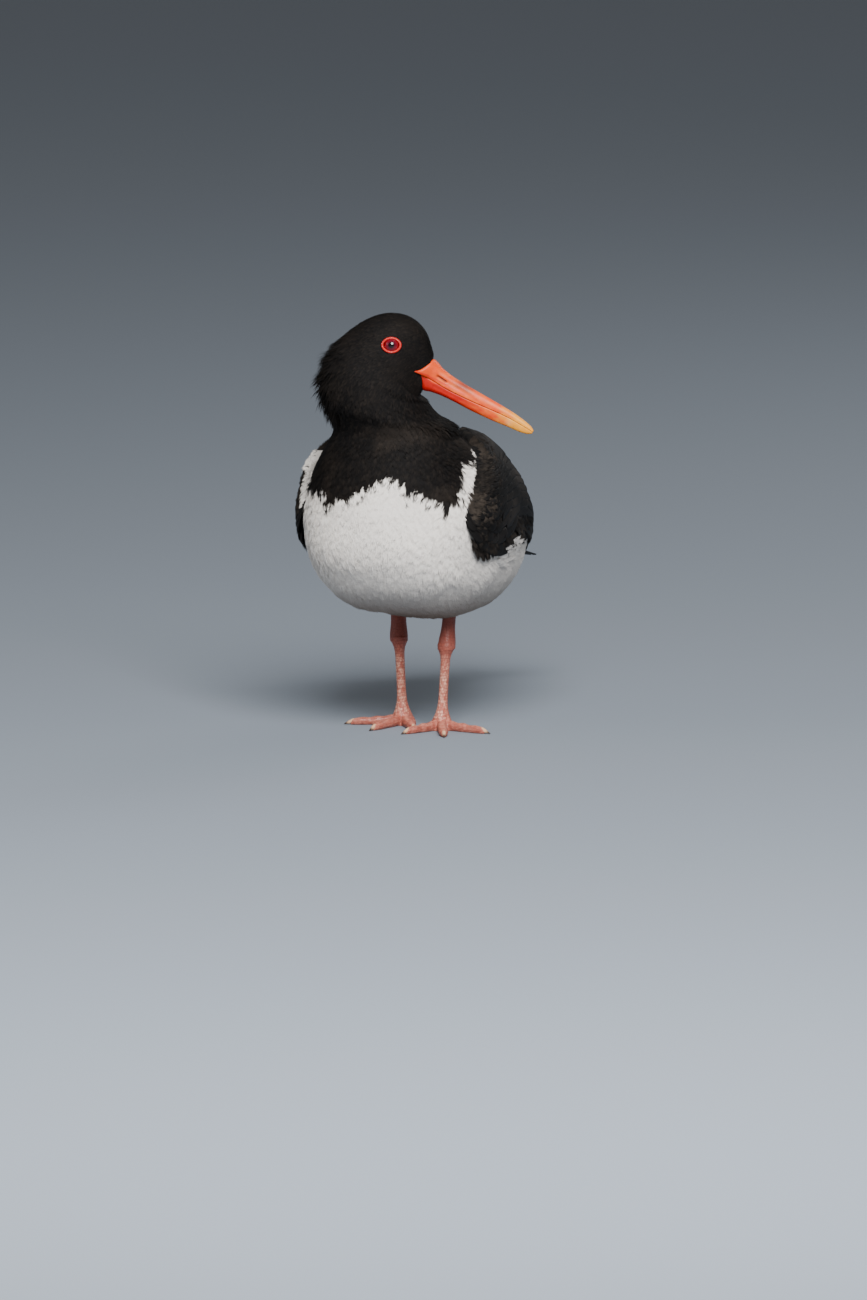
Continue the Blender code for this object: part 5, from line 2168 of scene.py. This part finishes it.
    def scales(self, points: Array) -> tuple[Array, Array]:
        """How far the scales stand out at points on the leg, and its colours there.

        Args:
            points: points on the leg.

        Returns:
            The rise in metres, and one colour for each point.
        """
        up = points[:, 2]
        axis = self.ground + (self.heel - self.ground) * np.clip(up / self.heel[2], 0, 1.4)[:, None]
        around = np.arctan2(points[:, 0] - axis[:, 0], -(points[:, 1] - axis[:, 1]))
        row = up / self.pitch + 0.35 * waves(points, 0.005, 1)
        column = around * 0.0030 / self.pitch * 1.25 + 0.5 * (np.floor(row) % 2)
        column = column + 0.3 * waves(points, 0.004, 2)
        cell = 1 - np.maximum(np.abs((row % 1) - 0.5), np.abs((column % 1) - 0.5)) * 2
        shank = step(0.0, 0.35, cell)
        best, scute, top = np.full(len(points), 1.0), np.zeros(len(points)), np.zeros(len(points))
        local = points - self.ground
        for index, (_, _, half) in enumerate(self.toes):
            toe = self.toe_axes(index)[0]
            along = local @ toe
            off = np.linalg.norm(local[:, :2] - along[:, None] * toe[:2], axis=1)
            inside = (along > 0) & (off < best) & (up < 0.0075)
            best = np.where(inside, off, best)
            wave = np.abs(((along / self.toe_pitch) % 1) - 0.5) * 2
            scute = np.where(inside, 1 - step(0.62, 0.98, wave), scute)
            top = np.where(inside, step(0.8, 0.2, off / half) * step(0.0022, 0.0040, up), top)
        near = step(0.0110, 0.0080, up) * step(0.0065, 0.0045, best)
        pattern = shank * (1 - near) + (scute * top + 0.5 * (1 - top) * shank) * near
        front = step(-0.2, 0.9, np.cos(around)) * (1 - near)
        uneven = np.clip(0.5 + 0.5 * waves(points, 0.0016, 4), 0, 1)
        shade = blend_colours(self.deep, self.pink, 0.25 + 0.75 * pattern * (0.6 + 0.4 * uneven))
        lower = step(0.052, 0.036, up) * (1 - near)
        light = 0.8 * uneven * pattern * ((0.75 * front + 0.25) * lower + 0.35 * near)
        # Painted shade: the heel and the thigh above it are darkened towards deep.
        upper = step(0.040, 0.060, up + 0.004 * (uneven - 0.5))
        colour = toward(toward(shade, self.pale, light), self.deep, 0.75 * upper)
        return self.relief * (pattern - 0.4), colour

    def build_claw(self, index: int, finish: Material) -> Object:
        """Makes one claw, pale with a dark point.

        Args:
            index: its toe's number.
            finish: its finish.

        Returns:
            The claw.
        """
        name, length, _ = self.toes[index]
        along, across = self.toe_axes(index)
        parts = np.linspace(0, 1, 24)
        size = 1 - 0.86 * parts**1.3
        turns = circle(24)
        middle = self.ground + (length - self.claw_sunk + parts[:, None] * self.claw_length) * along
        middle[:, 2] = 0.0003 + 0.0006 * (1 - parts) + self.claw_height * size / 2
        half = (self.claw_width / 2 * size)[:, None, None]
        rings = middle[:, None] + half * np.cos(turns)[None, :, None] * across
        rings[..., 2] += (self.claw_height / 2 * size)[:, None] * np.sin(turns)
        dark = step(0.45, 0.85, parts)[:, None] * np.ones(len(turns))
        shape = Shape()
        shape.add(rings, tube_faces(*rings.shape[:2]), blend_colours(self.claw_pale, self.claw_dark, dark))
        return shape.build(f"claw_horn_{name}_{self.side}", finish, "claw_horn")


def relax(mesh: Mesh, points: Array, rounds: int) -> Array:
    """Draws each point of a mesh to the middle of its neighbours, and back a little.

    Args:
        mesh: the mesh, for its edges.
        points: its points.
        rounds: how many times.

    Returns:
        The points where they end.
    """
    edges = np.empty(len(mesh.edges) * 2, np.int32)
    mesh.edges.foreach_get("vertices", edges)
    a, b = edges.reshape(-1, 2).T
    count = np.bincount(a, minlength=len(points)) + np.bincount(b, minlength=len(points))
    for turn in range(rounds):
        total = np.zeros_like(points)
        for k in range(3):
            total[:, k] = sum(np.bincount(i, points[j, k], len(points)) for i, j in ((a, b), (b, a)))
        points = points + (total / count[:, None] - points) * (0.55 if turn % 2 == 0 else -0.35)
    return points


# Stage


@dataclass(frozen=True)
class Stage:
    """Floor, lights, sky and camera, which is turned and raised as the photographer's was.

    Its picture is so wide and high in metres, and its middle is set off to the right, above and near
    the point below the hips. Each light has a place, a size and a power, and aims at the middle.
    """

    azimuth: float = 20.0
    elevation: float = 8.0
    distance: float = 14.0
    near: float = 0.05
    width: float = 867 * 0.00061
    height: float = 1300 * 0.00061
    right: float = 0.0082
    above: float = 0.0470
    sensor: float = 24.0
    floor: Triple = (0.20, 0.23, 0.27)
    sky: Triple = (0.79, 0.79, 0.80)
    sky_strength: float = 0.24
    middle: Triple = (0.0, 0.0, 0.13)
    lights: tuple[tuple[str, Triple, float, float], ...] = (
        ("key", (0.9, -1.9, 1.75), 1.3, 155.0),
        ("fill", (-1.8, -1.4, 1.0), 1.2, 5.0),
        ("rim", (0.6, 1.8, 1.3), 0.8, 8.0),
    )

    def axes(self) -> tuple[Array, Array, Array]:
        """Finds how the picture lies.

        Returns:
            Its directions right, up and towards the camera.
        """
        a, e = math.radians(self.azimuth), math.radians(self.elevation)
        right = np.array([math.cos(a), math.sin(a), 0.0])
        back = np.array([math.sin(a) * math.cos(e), -math.cos(a) * math.cos(e), math.sin(e)])
        return right, np.cross(back, right), back

    def build(self) -> None:
        """Makes the floor, the lights, the sky and the camera."""
        right, up, back = self.axes()
        target = ORIGIN.move(right * self.right + up * self.above + back * self.near)
        camera = bpy.data.cameras.new("camera")
        camera.sensor_fit = "VERTICAL"
        camera.sensor_height = self.sensor
        camera.sensor_width = self.sensor * self.width / self.height
        camera.lens = self.sensor * self.distance / self.height
        camera.clip_end = 60.0
        bpy.context.scene.camera = link("camera", camera)
        self.aim(bpy.context.scene.camera, target + back * self.distance, back)
        bpy.ops.mesh.primitive_plane_add(size=12.0)
        floor = bpy.context.object
        floor.name = "floor"
        floor.data.materials.append(PlainFinish("floor", self.floor, 0.8).build())
        floor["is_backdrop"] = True
        for name, place, size, power in self.lights:
            lamp = bpy.data.lights.new(name, "AREA")
            lamp.size, lamp.energy = size, power
            self.aim(link(name, lamp), place, np.array(place) - self.middle)
        world = bpy.data.worlds.new("world")
        world.use_nodes = True
        colour, strength = world.node_tree.nodes["Background"].inputs[:2]
        colour.default_value, strength.default_value = (*self.sky, 1), self.sky_strength
        bpy.context.scene.world = world

    @staticmethod
    def aim(obj: Object, place: Any, back: Array) -> None:
        """Puts a light or a camera at a place, with its back to a direction."""
        obj.location = place
        obj.rotation_euler = Vector(back).to_track_quat("Z", "Y").to_euler()


def settle(obj: Object, *nodes: str) -> None:
    """Lets a finished piece ride on the frame.

    Args:
        obj: the piece.
        nodes: the nodes that it replaces.
    """
    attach(obj, "root")
    if nodes:
        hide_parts(*nodes)
    LOG.info("%s: %d faces", obj.name, len(obj.data.polygons))


def corners() -> list[list[float]]:
    """Lowest and highest corner of what shows."""
    return [list(corner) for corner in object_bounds()]


def main() -> None:
    """Builds every piece in order."""
    logging.basicConfig(level=logging.INFO, format="%(message)s")
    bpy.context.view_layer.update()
    body, markings = Body(), Markings()
    bill = Bill(body.head)
    eyes = (Eye(body.head, "left"), Eye(body.head, "right"))
    wing = Wing(body, markings)
    feathers, vanes = PlumageFinish().build(), VaneFinish().build()
    horn, claw = HornFinish("bill_horn").build(), HornFinish("claw_horn_finish", 0.4).build()
    wet, bare = EyeFinish().build(), SkinFinish("eyelid", 3000.0, 0.00004).build()
    scaly = SkinFinish("leg", 1300.0, 0.00010, 0.45).build()

    skin, *coats = Plumage(body, markings, bill, eyes, wing).build(feathers)
    settle(skin, "torso", "neck", "head")
    for coat in coats:
        settle(coat)
    for side, name in ((1, "left"), (-1, "right")):
        settle(wing.build(f"wing_feathers_{name}", side, vanes), f"wing_{name}")
    settle(Tail(markings).build(vanes), "tail")
    settle(bill.build(True, horn), "bill_upper")
    settle(bill.build(False, horn), "bill_lower")
    for eye in eyes:
        settle(eye.build_ball(wet), f"eye_{eye.side}")
        settle(eye.build_ring(bare), f"eye_ring_{eye.side}")
    legs = (
        Leg("left", (0.0164, -0.0074), (0.0184, -0.0036, 0.0515), (0.0195, 0.0015), (-28, 23, 76), 0.8),
        Leg("right", (-0.0135, 0.0066), (-0.0163, 0.0069, 0.0535), (-0.0185, 0.0115), (33, -14, -68), 1.1),
    )
    for leg in legs:
        toes = [f"toe_{toe[0]}_{leg.side}" for toe in leg.toes]
        settle(leg.build(scaly), f"tibia_{leg.side}", f"tarsus_{leg.side}", *toes)
        for index, toe in enumerate(leg.toes):
            settle(leg.build_claw(index, claw), f"claw_{toe[0]}_{leg.side}")
    Stage().build()


if __name__ == "__main__":
    main()
